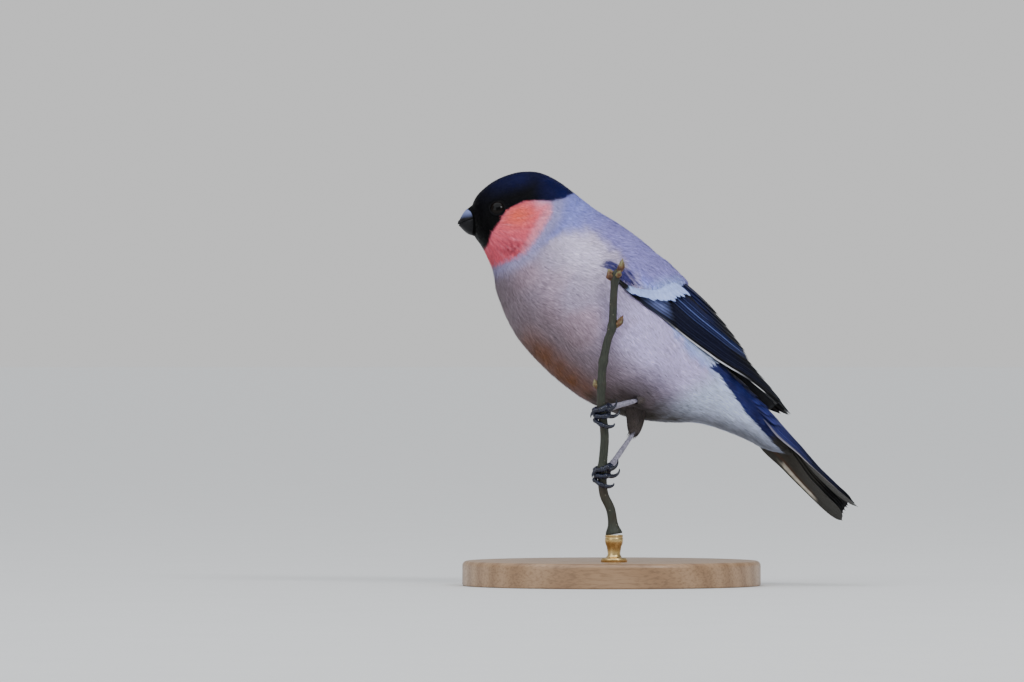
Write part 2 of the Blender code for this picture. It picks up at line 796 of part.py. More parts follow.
TOES = (
    Toe(-282.0, 2.7, 0.6, 0.70, 4.0),
    Toe(-290.0, 2.2, -1.2, 0.74, 4.2),
    Toe(-262.0, 1.7, -3.0, 0.68, 3.8),
    Toe(158.0, 2.9, 3.5, 0.78, 4.8),
)
# Share of a claw's length, and its radius there.
CLAW_SHAPE = ((0.3, 0.5), (0.6, 0.36), (0.85, 0.22), (1.0, 0.12))
# How much a claw rises, and how far it stands off the stem, at its point.
CLAW_CURL = 0.5
CLAW_SPREAD = 0.25
KNUCKLE_SWELL = 0.09
PALM_RISE = 2.5
PALM_RADIUS = 1.2
PALM_LENGTH = 1.6
# Share of the shin's length, and its radius there.
SHIN_SHAPE = ((0.0, 5.2), (0.35, 4.6), (0.65, 3.4), (0.85, 2.4), (1.0, 1.7))
GRIP_GAP = GAP + 0.08
TARSUS_TOP = 1.25
TARSUS_MIDDLE = 0.80
TARSUS_FLARE = 0.2
SCUTES = 7
SCUTE_EDGE = 0.10
TOE_STEPS = 9
TOE_TAPER = 0.8
KNUCKLES = 3


def toe_mesh(leg, toe):
    """A toe that winds round the stem and ends in a curved claw."""
    spine, radii = [], []
    for i in range(TOE_STEPS + 1):
        t = i / TOE_STEPS
        size = toe.radius * between(1.0, TOE_TAPER, t) + KNUCKLE_SWELL * abs(math.sin(KNUCKLES * math.pi * t))
        height = leg.grip + between(toe.start, toe.end, ease(t))
        reach = STEM_RADIUS + GRIP_GAP + size
        spine.append(stem_side(height, leg.palm_turn + toe.sweep * t, reach))
        radii.append(size)
    heading = (spine[-1] - spine[-2]).normalized()
    outward = (spine[-1] - stem_centre(spine[-1].z)).normalized()
    for share, size in CLAW_SHAPE:
        rise = Vector((0.0, 0.0, toe.claw * CLAW_CURL * share**2))
        spine.append(spine[TOE_STEPS] + (heading * toe.claw * 0.9 + outward * CLAW_SPREAD) * share + rise)
        radii.append(size)
    return tube(spine, radii, 6)


def build_leg(word, leg, trunk_parts, skin, scale):
    """A feathered shin in a socket of the belly, a scaled tarsus, and a foot that grips the stem."""
    hip, ankle = Vector(leg.hip), Vector(leg.ankle)
    reach = (ankle - hip).length
    cuff = hip.lerp(ankle, 1 - (TARSUS_TOP + GAP) / reach)
    spine = [hip.lerp(cuff, t) for t, _ in SHIN_SHAPE]
    widths = [width for _, width in SHIN_SHAPE]
    add_object("shin_" + word, tube(spine, widths, 12), skin)
    for part in trunk_parts:
        slack = (cuff - hip).normalized() * GAP
        socket = tube([hip - slack, *spine[1:-1], cuff + slack], [w + GAP for w in widths], 12)
        apply_boolean(part, "DIFFERENCE", [add_object("socket", socket)])
    palm = stem_side(leg.grip + PALM_RISE, leg.palm_turn, STEM_RADIUS + GRIP_GAP + PALM_RADIUS)
    way = (palm - ankle).normalized()
    end = palm - way * (PALM_LENGTH + GAP)
    bends = [math.radians(angle) for angle in (70, 45, 20)]
    tarsus = [ankle - way * TARSUS_TOP * math.sin(bend) for bend in bends]
    sizes = [TARSUS_TOP * math.cos(bend) for bend in bends]
    for i in range(SCUTES):
        for step, swell in ((0.0, SCUTE_EDGE), (0.85, 0.0)):
            t = (i + step) / SCUTES
            tarsus.append(ankle.lerp(end, t))
            knee = max(0.0, 1 - t * 5) ** 2 * (TARSUS_TOP - TARSUS_MIDDLE)
            flare = max(0.0, t * 5 - 4) * TARSUS_FLARE
            sizes.append(TARSUS_MIDDLE + knee + flare + swell)
    tarsus.append(end)
    sizes.append(TARSUS_MIDDLE + TARSUS_FLARE)
    add_object("tarsus_" + word, tube(tarsus, sizes, 8), scale)
    root = [palm - way * PALM_LENGTH, palm - way * 0.6, palm + way * 0.3]
    foot = add_object("foot_" + word, tube(root, [0.95, PALM_RADIUS, 0.95], 8), scale)
    pieces = [add_object("toe", toe_mesh(leg, toe)) for toe in TOES]
    apply_boolean(foot, "UNION", pieces)


def turned(profile, segments):
    """A closed solid turned from (radius, height) points round the Z axis."""
    spokes = [2 * math.pi * k / segments for k in range(segments)]
    return skin_rings([[Vector((r * math.cos(k), r * math.sin(k), z)) for k in spokes] for r, z in profile])


def build_stand(base_finish, rod_finish):
    """The flat round base, and the short rod that holds the stem's cut heel."""
    profile = (
        (STAND_RADIUS - FOOT_CHAMFER, 0.0),
        (STAND_RADIUS, FOOT_CHAMFER),
        (STAND_RADIUS, STAND_THICKNESS - STAND_EDGE * 1.6),
        (STAND_RADIUS - STAND_EDGE * 0.4, STAND_THICKNESS - STAND_EDGE * 0.6),
        (STAND_RADIUS - STAND_EDGE * 1.4, STAND_THICKNESS),
    )
    add_object("stand_base", turned(profile, BASE_SIDES), base_finish, 30.0)
    heel = STEM_PATH[0]
    cup_top = heel.z - CUP_CLEARANCE
    rod = (
        (FLANGE_RADIUS, STAND_THICKNESS + GAP),
        (FLANGE_RADIUS, STAND_THICKNESS + 1.3),
        (ROD_RADIUS, STAND_THICKNESS + 2.0),
        (ROD_RADIUS, cup_top - 2.5),
        (CUP_RADIUS, cup_top - 1.7),
        (CUP_RADIUS, cup_top),
    )
    rod_mesh = place(turned(rod, ROD_SIDES), Matrix.Translation((heel.x, heel.y, 0.0)))
    add_object("stand_rod", rod_mesh, rod_finish, 30.0)


def main():
    """Build the bird, its stem and its stand."""
    clear_scene()
    cap = material("black_cap", (0.008, 0.008, 0.016), 0.45)
    grey = material("grey_mantle", (0.30, 0.30, 0.36), 0.8)
    rose = material("rosy_breast", (0.45, 0.33, 0.33), 0.85)
    white = material("white_vent", (0.78, 0.80, 0.82), 0.85)
    flight = material("blue_black_flight", (0.010, 0.012, 0.030), 0.35)
    horn = material("dark_horn", (0.020, 0.020, 0.028), 0.3)
    eye = material("dark_eye", (0.006, 0.004, 0.004), 0.05)
    leg_scale = material("dusky_leg", (0.09, 0.07, 0.08), 0.5)
    bark = material("green_bark", (0.07, 0.09, 0.03), 0.7)
    wood = material("pale_wood", (0.50, 0.36, 0.22), 0.45)
    brass = material("brass", (0.70, 0.52, 0.25), 0.3, 1.0)

    head = trunk_part("head", None, HEAD_CUT, cap)
    trunk_part("neck", HEAD_CUT, NECK_CUT, grey)
    torso = trunk_part("torso", NECK_CUT, RUMP_CUT, rose)
    rump = trunk_part("rump", RUMP_CUT, TAIL_CUT, white)
    build_eyes(head, eye)
    build_bill(head, horn)
    tail = build_tail(flight)
    for word, side in (("left", 1), ("right", -1)):
        build_wing(word, side, (torso, rump, tail), flight)
    build_stem(bark)
    for word, leg in LEGS.items():
        build_leg(word, leg, (torso, rump), grey, leg_scale)
    build_stand(wood, brass)


main()
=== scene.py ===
"""The looks of a life-size still model of a male bullfinch, on a cut stem held by a plain display stand.

The bird is worked out in millimetres in its own frame: x to its left, y towards its tail, z out of its back.
BirdFrame then turns that frame head-up, banks it towards the stem, and gives metres in the row frame, where
+Z is up and the bird looks towards -X.
"""
import logging
import math
from dataclasses import dataclass, field
from enum import Enum
from typing import Callable, Iterator, Sequence

import bmesh
import bpy
import numpy as np
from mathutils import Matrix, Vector


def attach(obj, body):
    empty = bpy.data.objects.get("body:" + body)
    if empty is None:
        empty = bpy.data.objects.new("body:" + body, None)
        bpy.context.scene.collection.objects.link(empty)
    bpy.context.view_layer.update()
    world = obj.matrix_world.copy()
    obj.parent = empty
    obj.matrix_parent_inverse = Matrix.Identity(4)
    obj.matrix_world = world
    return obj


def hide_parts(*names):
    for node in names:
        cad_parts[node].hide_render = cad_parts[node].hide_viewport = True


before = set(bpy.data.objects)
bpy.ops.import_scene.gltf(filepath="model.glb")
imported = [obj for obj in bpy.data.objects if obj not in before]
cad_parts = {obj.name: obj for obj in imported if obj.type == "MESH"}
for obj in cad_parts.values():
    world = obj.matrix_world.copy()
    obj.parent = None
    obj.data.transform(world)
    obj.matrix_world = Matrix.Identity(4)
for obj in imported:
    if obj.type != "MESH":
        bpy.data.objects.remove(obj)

Array = np.ndarray
Curve = tuple[tuple[float, float], ...]

MM = 0.001
GAP = 0.3

LOG = logging.getLogger("bullfinch")


def blend(x: Array, points: Curve) -> Array:
    """The values at x on the straight lines through the (x, value) points, level past both ends."""
    places, values = zip(*points)
    return np.interp(x, places, values)


def ease(t: Array) -> Array:
    """Smooth step from 0 to 1."""
    t = np.clip(t, 0.0, 1.0)
    return t * t * (3 - 2 * t)


def lerp(first: Array, last: Array, share: Array) -> Array:
    """The value this share of the way from first to last."""
    return first + (last - first) * share


def columns(x: Array, y: Array, z: Array) -> Array:
    """Points from their three coordinates.

    Args:
        x: First coordinates.
        y: Second coordinates.
        z: Third coordinates.

    Returns:
        An array with one more axis, of length 3, at its end.
    """
    return np.stack(np.broadcast_arrays(x, y, z), axis=-1).astype(float)


def catmull(points: Array, steps: int) -> Array:
    """A smooth curve through points along the first axis.

    Args:
        points: Points, or rows of points.
        steps: Steps in each stretch between two of them.

    Returns:
        The points of the curve, its ends included.
    """
    ends = np.concatenate([[points[0] * 2 - points[1]], points, [points[-1] * 2 - points[-2]]])
    t = (np.arange(steps) / steps).reshape((-1,) + (1,) * (points.ndim - 1))
    found = []
    for p0, p1, p2, p3 in zip(ends, ends[1:], ends[2:], ends[3:]):
        swing = (p2 - p0) * t + (p0 * 2 - p1 * 5 + p2 * 4 - p3) * t**2 + (p1 * 3 - p0 - p2 * 3 + p3) * t**3
        found.append(p1 + 0.5 * swing)
    found.append(points[-1:])
    return np.concatenate(found)


def unit(vectors: Array) -> Array:
    """Vectors of length 1 along the given ones."""
    return vectors / np.maximum(np.linalg.norm(vectors, axis=-1, keepdims=True), 1e-9)


def waver(points: Array, scale: float, seed: int) -> Array:
    """Smooth noise from a few seeded sine waves.

    Args:
        points: Places in millimetres.
        scale: Rough size of a wave in millimetres.
        seed: Seed of the waves.

    Returns:
        A value from about -1 to 1 for each point.
    """
    rng = np.random.default_rng(seed)
    total = np.zeros(points.shape[:-1])
    for _ in range(6):
        way = unit(rng.normal(size=3)) * (2 * math.pi / (scale * rng.uniform(0.7, 1.5)))
        total += np.sin(points @ way + rng.uniform(0, 2 * math.pi))
    return total / 3.0


@dataclass(frozen=True)
class BirdFrame:
    """Where the bird's own frame lies: its origin in the row frame, its pitch, its bank and its head's bank."""

    origin: tuple[float, float, float] = (0.0, 6.0, 86.0)
    pitch: float = 42.5
    bank: float = 22.0
    head_bank: float = 8.0
    twist_from: float = -36.0
    twist_to: float = -8.0

    def axes(self) -> Array:
        """The left, tailward and back directions as rows."""
        pitch = math.radians(self.pitch)
        bank = math.radians(self.bank)
        tailward = np.array((math.cos(pitch), 0.0, -math.sin(pitch)))
        across = np.array((math.sin(pitch), 0.0, math.cos(pitch)))
        near = np.array((0.0, -1.0, 0.0))
        left = near * math.cos(bank) + across * math.sin(bank)
        back = across * math.cos(bank) - near * math.sin(bank)
        return np.stack((left, tailward, back))

    def to_row(self, points: Array) -> Array:
        """Points of the bird's frame in millimetres of the row frame, with the neck untwisted."""
        x, y, z = np.moveaxis(points, -1, 0)
        share = 1 - ease((y - self.twist_from) / (self.twist_to - self.twist_from))
        turn = np.radians((self.bank - self.head_bank) * share)
        twisted = columns(x * np.cos(turn) + z * np.sin(turn), y, z * np.cos(turn) - x * np.sin(turn))
        return twisted @ self.axes() + np.array(self.origin)

    def from_row(self, points: Array) -> Array:
        """Points behind the neck, given in millimetres of the row frame, in the bird's frame."""
        return (np.asarray(points, float) - np.array(self.origin)) @ self.axes().T


BIRD = BirdFrame()


@dataclass(frozen=True)
class Ground:
    """Whose frame a shape is worked out in, with the way to metres of the row frame."""

    in_bird: bool

    def metres(self, points: Array) -> Array:
        """Points in metres of the row frame."""
        return (BIRD.to_row(points) if self.in_bird else points) * MM


ON_BIRD = Ground(True)
ON_ROW = Ground(False)


class Tone(Enum):
    """The colours of plumage, bill, legs, stem and stand, as they look in soft light, from 0 to 255."""

    CAP = (4, 4, 9)
    # painted reflection: the sky's blue mirrored on the black cap, laid into its colour
    CAP_PAINTED_SHEEN = (16, 22, 84)
    LORE = (3, 3, 4)
    CHEEK_ORANGE = (255, 114, 94)
    CHEEK_ROSE = (246, 110, 130)
    CHEEK_DEEP = (128, 44, 56)
    CHEEK_REAR = (255, 190, 214)
    NECK = (174, 168, 210)
    NAPE = (150, 156, 232)
    MANTLE = (158, 152, 218)
    SCAPULAR = (152, 158, 255)
    # painted highlight: the pale top of the breast's bulge, where the light falls
    BREAST_PAINTED_HIGHLIGHT = (240, 230, 255)
    BREAST = (186, 172, 198)
    BREAST_WARM = (196, 160, 172)
    # painted shade: a darker, browner breast colour for the underside, turned away from the light
    BREAST_PAINTED_SHADE = (132, 116, 122)
    # painted shade for the underside of the belly
    BELLY_PAINTED_SHADE = (58, 56, 50)
    BELLY_ORANGE = (124, 78, 44)
    FLANK = (214, 202, 246)
    WHITE = (214, 226, 255)
    RUMP = (206, 220, 255)
    BLUE_BLACK = (14, 14, 42)
    # painted sheen: the blue gloss of the black tail and its coverts
    BLUE_PAINTED_GLOSS = (56, 64, 138)
    WRIST = (44, 44, 112)
    SHIN = (112, 100, 92)
    WING_BLACK = (5, 5, 9)
    # painted sheen: the next three colours stand for light on the black flight feathers, a blue gloss, a dull edge
    # sheen and bright edge lines
    WING_PAINTED_GLOSS = (20, 28, 78)
    WING_EDGE_PAINTED_SHEEN = (60, 66, 96)
    WING_LINE_PAINTED_SHEEN = (112, 130, 196)
    WING_PALE = (206, 206, 214)
    BAR = (176, 196, 255)
    # pale grey feather edges, with a painted grey sheen over them
    COVERT_PALE_EDGE_AND_SHEEN = (112, 124, 180)
    UNDER_BROWN = (58, 57, 54)
    STREAK = (216, 208, 192)
    TAIL_RUST = (92, 62, 46)

    def linear(self) -> Array:
        """The colour as linear light."""
        share = np.array(self.value) / 255
        return np.where(share <= 0.04045, share / 12.92, ((share + 0.055) / 1.055) ** 2.4)


def paint(under: Array, tone: Tone, share: Array) -> Array:
    """Colours with this share of a tone laid over them."""
    return under + (tone.linear() - under) * np.clip(share, 0, 1)[..., None]


def within(places: Array, outline: Sequence[tuple[float, float]], soft: float) -> Array:
    """How far places lie inside a closed outline.

    Args:
        places: Places in the plane of the outline.
        outline: Its corners in order.
        soft: Width over which the edge fades.

    Returns:
        0 outside, 1 inside, and between them over the soft edge.
    """
    corners = np.array(outline, float)
    nearest = np.full(places.shape[:-1], 1e9)
    inside = np.zeros(places.shape[:-1], bool)
    x, y = places[..., 0], places[..., 1]
    for start, end in zip(corners, np.roll(corners, -1, axis=0)):
        side = end - start
        share = np.clip(((places - start) @ side) / (side @ side), 0, 1)
        off = places - (start + share[..., None] * side)
        nearest = np.minimum(nearest, np.hypot(off[..., 0], off[..., 1]))
        crosses = (start[1] > y) != (end[1] > y)
        rise = end[1] - start[1] if end[1] != start[1] else 1e-9
        inside ^= crosses & (x < start[0] + (y - start[1]) * side[0] / rise)
    return ease(0.5 + np.where(inside, nearest, -nearest) / soft)


@dataclass(frozen=True)
class Markings:
    """Where each colour of the plumage lies, drawn in the side view and alike on both sides.

    Head outlines are in millimetres back from and up from head_origin, along the head's own pitch. Trunk
    outlines are in millimetres along and up from the trunk's axis.
    """

    head_origin: tuple[float, float] = (-34.24, 118.96)
    head_pitch: float = 17.0
    cheek: Curve = (
        *((2.4, 2.6), (7.1, 3.4), (11.3, 2.4), (16.4, 0.9), (14.0, -4.2), (10.6, -7.2), (6.5, -10.5), (2.6, -13.3)),
        *((-1.6, -13.9), (-5.2, -14.1), (-9.5, -14.6), (-12.5, -9.2), (-9.6, -7.2), (-5.0, -2.2)),
    )
    black: Curve = (
        *((-9.1, -8.0), (-7.9, -6.9), (-6.2, -4.3), (-3.9, -2.4), (-0.9, -0.1), (2.4, 1.9), (7.1, 2.7), (11.3, 1.7)),
        *((15.6, 0.2), (20.0, 0.0), (23.6, 0.9), (26.5, 4.5), (30.0, 25.0), (-30.0, 25.0), (-30.0, -9.8)),
    )
    dorsal_line: Curve = (
        *((-60.0, -16.0), (-37.5, -8.3), (-34.1, -3.9), (-32.0, 3.2), (-30.4, 9.5), (-25.8, 14.6)),
        *((-19.8, 16.6), (-12.9, 16.6), (-6.1, 15.6), (12.0, 12.0), (24.0, 9.0)),
    )
    tail_coverts: Curve = (
        *((33.2, 9.5), (35.5, 13.0), (38.0, 30.0), (99.0, 30.0), (99.0, 4.6), (66.0, 5.4), (53.0, 6.5)),
        *((42.5, 8.8), (38.2, 10.2)),
    )
    lower_line: Curve = (
        *((-20.0, -27.0), (0.0, -26.6), (11.0, -25.4), (20.0, -22.8), (28.0, -18.6), (36.0, -13.2), (44.0, -7.6)),
        *((51.0, -3.6), (58.0, -0.6), (65.0, 2.2), (74.0, 6.5)),
    )
    shade_width: Curve = (
        *((7.0, 0.0), (13.0, 8.0), (20.0, 23.0), (26.0, 24.0), (33.0, 14.5), (42.0, 8.5), (60.0, 6.2), (76.0, 5.0)),
    )
    wrist: Curve = ((-15.0, 10.6), (-13.2, 13.4), (-6.0, 15.0), (-0.5, 13.6), (-3.6, 11.0), (-10.0, 9.4))

    def side_view(self, points: Array) -> Array:
        """Where points show in the row frame's X and Z, those of the right side first mirrored to the left."""
        mirrored = points.copy()
        mirrored[..., 0] = np.abs(points[..., 0])
        return BIRD.to_row(mirrored)[..., (0, 2)]

    def head_view(self, points: Array) -> Array:
        """Places back and up from the head's origin."""
        turn = math.radians(self.head_pitch)
        off = self.side_view(points) - np.array(self.head_origin)
        back = off[..., 0] * math.cos(turn) + off[..., 1] * math.sin(turn)
        up = off[..., 1] * math.cos(turn) - off[..., 0] * math.sin(turn)
        return np.stack((back, up), axis=-1)

    def trunk_view(self, points: Array) -> Array:
        """Places along and up from the trunk's axis."""
        turn = math.radians(BIRD.pitch)
        x, z = np.moveaxis(self.side_view(points) - np.array((BIRD.origin[0], BIRD.origin[2])), -1, 0)
        return np.stack((x * math.cos(turn) - z * math.sin(turn), x * math.sin(turn) + z * math.cos(turn)), axis=-1)

    def colours(self, points: Array) -> Array:
        """The plumage's linear colour at points of the bird's frame, with painted shade and a painted highlight laid
        in.
        """
        place = self.trunk_view(points)
        along, up = place[..., 0], place[..., 1]
        below = -points[..., 2]
        colour = np.zeros(points.shape) + Tone.BREAST.linear()
        colour = paint(colour, Tone.FLANK, ease((along + 12) / 20) * ease((up + 11) / 11))
        warm = np.clip(waver(points, 16.0, 43), 0, 1) * ease((12 - along) / 10)
        colour = paint(colour, Tone.BREAST_WARM, 0.5 * warm)
        # painted shade, darker towards the underside
        colour = paint(colour, Tone.BREAST_PAINTED_SHADE, 0.85 * ease((-up - 4) / 13))
        # painted highlight on the bulge of the upper breast
        spot = ((along + 22.5) / 9.5) ** 2 + ((up - 10.5) / 8.0) ** 2
        colour = paint(colour, Tone.BREAST_PAINTED_HIGHLIGHT, 0.95 * np.exp(-spot * 0.8))
        orange = ease((-up - 16.0) / 8.5) * ease((along + 24) / 14) * ease((20 - along) / 12)
        colour = paint(colour, Tone.BELLY_ORANGE, orange * (0.86 + 0.14 * waver(points, 7.0, 3)))
        soft = lerp(10.0, 4.5, ease((along + 32) / 14))
        dorsal = ease(0.5 + (up - blend(along, self.dorsal_line) + waver(points, 5.0, 5)) / soft)
        back = paint(np.zeros(points.shape) + Tone.NAPE.linear(), Tone.MANTLE, ease((along + 34) / 16))
        back = paint(back, Tone.SCAPULAR, ease((along + 10) / 12) * ease((19 - up) / 5))
        _, across, height = WING_SHEET.place(points)
        near_bar = ease((along - blend(across, WING_SHEET.bar_line) + 12.0) / 7.0) * ease((24 - across) / 6)
        back = paint(back, Tone.BAR, 0.9 * near_bar * ease((height + 3) / 2))
        colour = lerp(colour, back, dorsal[..., None])
        colour = paint(colour, Tone.WHITE, ease((along - 31 + 0.25 * np.minimum(below, 16)) / 9))
        colour = paint(colour, Tone.RUMP, ease((along - 21) / 3) * ease((points[..., 2] - 2) / 5))
        # painted shade: a dark band above the body's lower outline, widest round the legs
        width = np.maximum(blend(along, self.shade_width), 0.1)
        depth = np.clip((width - up + blend(along, self.lower_line)) / width, 0, 1)
        shade = depth * (0.95 + 0.3 * depth) * ease((82 - along) / 26)
        colour = paint(colour, Tone.BELLY_PAINTED_SHADE, shade * (0.86 + 0.1 * waver(points, 4.0, 37)))
        wisp = np.exp(-(((along - 39.3) / 3.2) ** 2) - ((up + 3.4 + 0.2 * (along - 39.3)) / 0.9) ** 2)
        colour = paint(colour, Tone.WHITE, wisp * (0.6 + 0.4 * waver(points, 1.4, 47)))
        colour = lerp(colour, self.covert_colours(points), within(place, self.tail_coverts, 0.5)[..., None])
        frayed = place + 0.7 * waver(points * np.array((1.0, 0.35, 1.0)), 1.5, 53)[..., None]
        dark = 0.95 + 0.35 * np.minimum(waver(points * np.array((1.0, 0.3, 1.0)), 1.3, 59), 0)
        colour = paint(colour, Tone.WRIST, dark * within(frayed, self.wrist, 1.6))
        return self.head_colours(points, colour)

    def covert_colours(self, points: Array) -> Array:
        """The blue-black of the upper tail coverts, with a painted blue gloss over it."""
        dark = np.zeros(points.shape) + Tone.BLUE_BLACK.linear()
        glossy = paint(dark, Tone.BLUE_PAINTED_GLOSS, 0.48 + 0.2 * waver(points, 8.0, 29))
        return paint(glossy, Tone.UNDER_BROWN, ease((points[..., 1] - 62) / 4))

    def head_colours(self, points: Array, colour: Array) -> Array:
        """The head's cheek patch and cap, with a painted blue sheen on the cap, laid over the trunk's colours."""
        place = self.head_view(points)
        back, up = place[..., 0], place[..., 1]
        rose = np.zeros(points.shape) + Tone.CHEEK_ROSE.linear()
        ember = np.exp(-(((back - 4.0) / 5.5) ** 2) - ((up + 1.2) / 3.6) ** 2)
        rose = paint(rose, Tone.CHEEK_ORANGE, ember)
        inwards = 15.8 - back + up
        rear = np.maximum(0.6 * ease((3.8 - inwards) / 3.6), 0.8 * ease((back - 8) / 4.5) * ease((up + 2.5) / 4))
        rose = paint(rose, Tone.CHEEK_REAR, rear)
        smudge = np.exp(-(((back + 1.2) / 4.2) ** 2) - ((up + 10.4) / 2.4) ** 2)
        smudge = smudge * (0.62 + 0.38 * waver(points, 1.5, 11)) + 0.10 * ease((-up - 8) / 6)
        reach, fan = np.hypot(back + 9, up - 1), np.arctan2(up - 1, back + 9)
        stroke = waver(columns(0.3 * reach, 13.0 * fan, 0.0 * fan), 1.3, 19)
        rose = paint(rose, Tone.CHEEK_DEEP, 0.8 * smudge + 0.13 * np.maximum(-stroke, 0))
        rose = paint(rose, Tone.CHEEK_REAR, 0.11 * np.maximum(stroke, 0))
        ragged = place + 0.35 * waver(points, 1.6, 17)[..., None]
        near = within(ragged, self.cheek, 14.0)
        colour = paint(colour, Tone.NECK, 0.8 * ease(near * 3.0) * ease((5 - up) / 6))
        soft = within(ragged, self.cheek, 2.2) * ease((18.5 - back - 1.1 * up) / 7.0)
        colour = lerp(colour, rose, soft[..., None])
        cap = np.zeros(points.shape) + Tone.CAP.linear()
        # painted reflection: a blue sheen over the crown and towards the nape
        painted_cap_sheen = np.maximum(ease((up - 4.5) / 7.0) * ease((back + 12) / 20) * 0.7, ease((back - 9) / 11))
        cap = paint(cap, Tone.CAP_PAINTED_SHEEN, painted_cap_sheen * (0.85 + 0.15 * waver(points, 6.0, 23)))
        cap = paint(cap, Tone.LORE, ease((2.0 - back) / 6) * ease((4.5 - up) / 5))
        return lerp(colour, cap, within(place, self.black, 0.7)[..., None])


MARKINGS = Markings()


@dataclass(frozen=True)
class WingSheet:
    """The curved sheet that a folded wing's feathers lie on, as an arc round a centre line."""

    centre: Curve = ((-16, -0.5), (0, 0.0), (10, 0.4), (20, 1.8), (30, 3.8), (37, 5.2), (48, 7.1), (63, 8.9))
    radius: Curve = ((-16, 23.2), (0, 24.8), (10, 23.7), (20, 21.3), (30, 18.2), (37, 15.9), (48, 12.9), (63, 9.8))
    lower_edge: Curve = (
        *((-16, 6), (0, 1), (12, 5), (21, 6.5), (27, 8.5)),
        *((34, 12.5), (39, 18), (48, 33), (55, 48), (63, 71)),
    )
    height: Curve = ((-16, 12), (-9, 22), (2, 25.6), (12, 26), (20, 25), (30, 21.6), (38, 18), (46, 11.5), (63, 7))
    bar_line: Curve = ((-1, -6.0), (0, -3.0), (1.9, 3.8), (3.6, 7.0), (6.5, 10.8), (10.3, 12.0), (16, 14.6), (24, 17.4))
    front: float = -15.0
    tip: float = 63.6

    def point(self, along: Array, across: Array, height: Array, side: int) -> Array:
        """Points of the wing.

        Args:
            along: Millimetres along the trunk.
            across: Millimetres up from the wing's lower edge.
            height: Millimetres out from the sheet.
            side: 1 for the left wing, -1 for the right one.

        Returns:
            Points of the bird's frame.
        """
        radius = blend(along, self.radius)
        angle = np.radians(blend(along, self.lower_edge)) + across / radius
        reach = radius + height
        out = np.maximum(reach * np.cos(angle), 0.3)
        return columns(side * out, along, blend(along, self.centre) + reach * np.sin(angle))

    def place(self, points: Array) -> tuple[Array, Array, Array]:
        """How far along the trunk, up from the wing's lower edge and out from the sheet points lie."""
        x, along, z = np.moveaxis(points, -1, 0)
        rise = z - blend(along, self.centre)
        radius = blend(along, self.radius)
        angle = np.arctan2(rise, np.abs(x))
        across = (angle - np.radians(blend(along, self.lower_edge))) * radius
        return along, across, np.hypot(x, rise) - radius

    def cover(self, points: Array, grow: float) -> tuple[Array, Array]:
        """How surely points lie under the wing's arm, and under its flight feathers.

        Args:
            points: Points of the bird's frame.
            grow: Millimetres by which the wing's outline is widened.

        Returns:
            Two shares from 0 to 1.
        """
        along, across, _ = self.place(points)
        wide = ease((across + grow) / 1.6 + 0.5) * ease((blend(along, self.height) + grow - across) / 2.0 + 0.5)
        long = ease((along - self.front) / 6.0) * ease((self.tip + grow - along) / 2.0)
        behind = ease((along - blend(across, self.bar_line) + 7.0) / 3.0)
        inside = wide * long
        return inside * (1 - behind), inside * behind


WING_SHEET = WingSheet()


@dataclass(frozen=True)
class Section:
    """A cross-section of the trunk: its top and bottom points in the mid-plane, and its half width."""

    top: tuple[float, float]
    bottom: tuple[float, float]
    half_width: float


@dataclass
class Form:
    """A feathered form: its skin and the face of its plumage, each as rows along the lie and columns round it."""

    skin: Array
    face: Array
    steps: Array = field(init=False)

    def __post_init__(self) -> None:
        """Work out how long a row step and a column step are."""
        rows, count = self.face.shape[:2]
        ahead = np.linalg.norm(np.gradient(self.face, axis=0), axis=-1) * (rows - 1)
        wrapped = np.roll(self.face, -1, axis=1) - np.roll(self.face, 1, axis=1)
        around = np.linalg.norm(wrapped, axis=-1) / 2 * count
        self.steps = np.stack((np.maximum(ahead, 1e-3), np.maximum(around, 1e-3)), axis=-1)

    def sample(self, table: Array, along: Array, turn: Array) -> Array:
        """Values of a table between its rows and columns.

        Args:
            table: An array of rows and columns.
            along: Share of the way from the first row to the last.
            turn: Share of the way round.

        Returns:
            The values there.
        """
        rows, count = table.shape[:2]
        row = np.clip(along, 0, 1) * (rows - 1)
        low = np.minimum(row.astype(int), rows - 2)
        column = np.mod(turn, 1.0) * count
        left = column.astype(int) % count
        right = (left + 1) % count
        part = (column - np.floor(column))[..., None]
        share = (row - low)[..., None]
        near = lerp(table[low, left], table[low, right], part)
        far = lerp(table[low + 1, left], table[low + 1, right], part)
        return lerp(near, far, share)

    def point(self, along: Array, turn: Array, lift: Array) -> Array:
        """Points between the skin, at lift 0, and the face of the plumage, at lift 1."""
        skin = self.sample(self.skin, along, turn)
        return lerp(skin, self.sample(self.face, along, turn), lift[..., None])


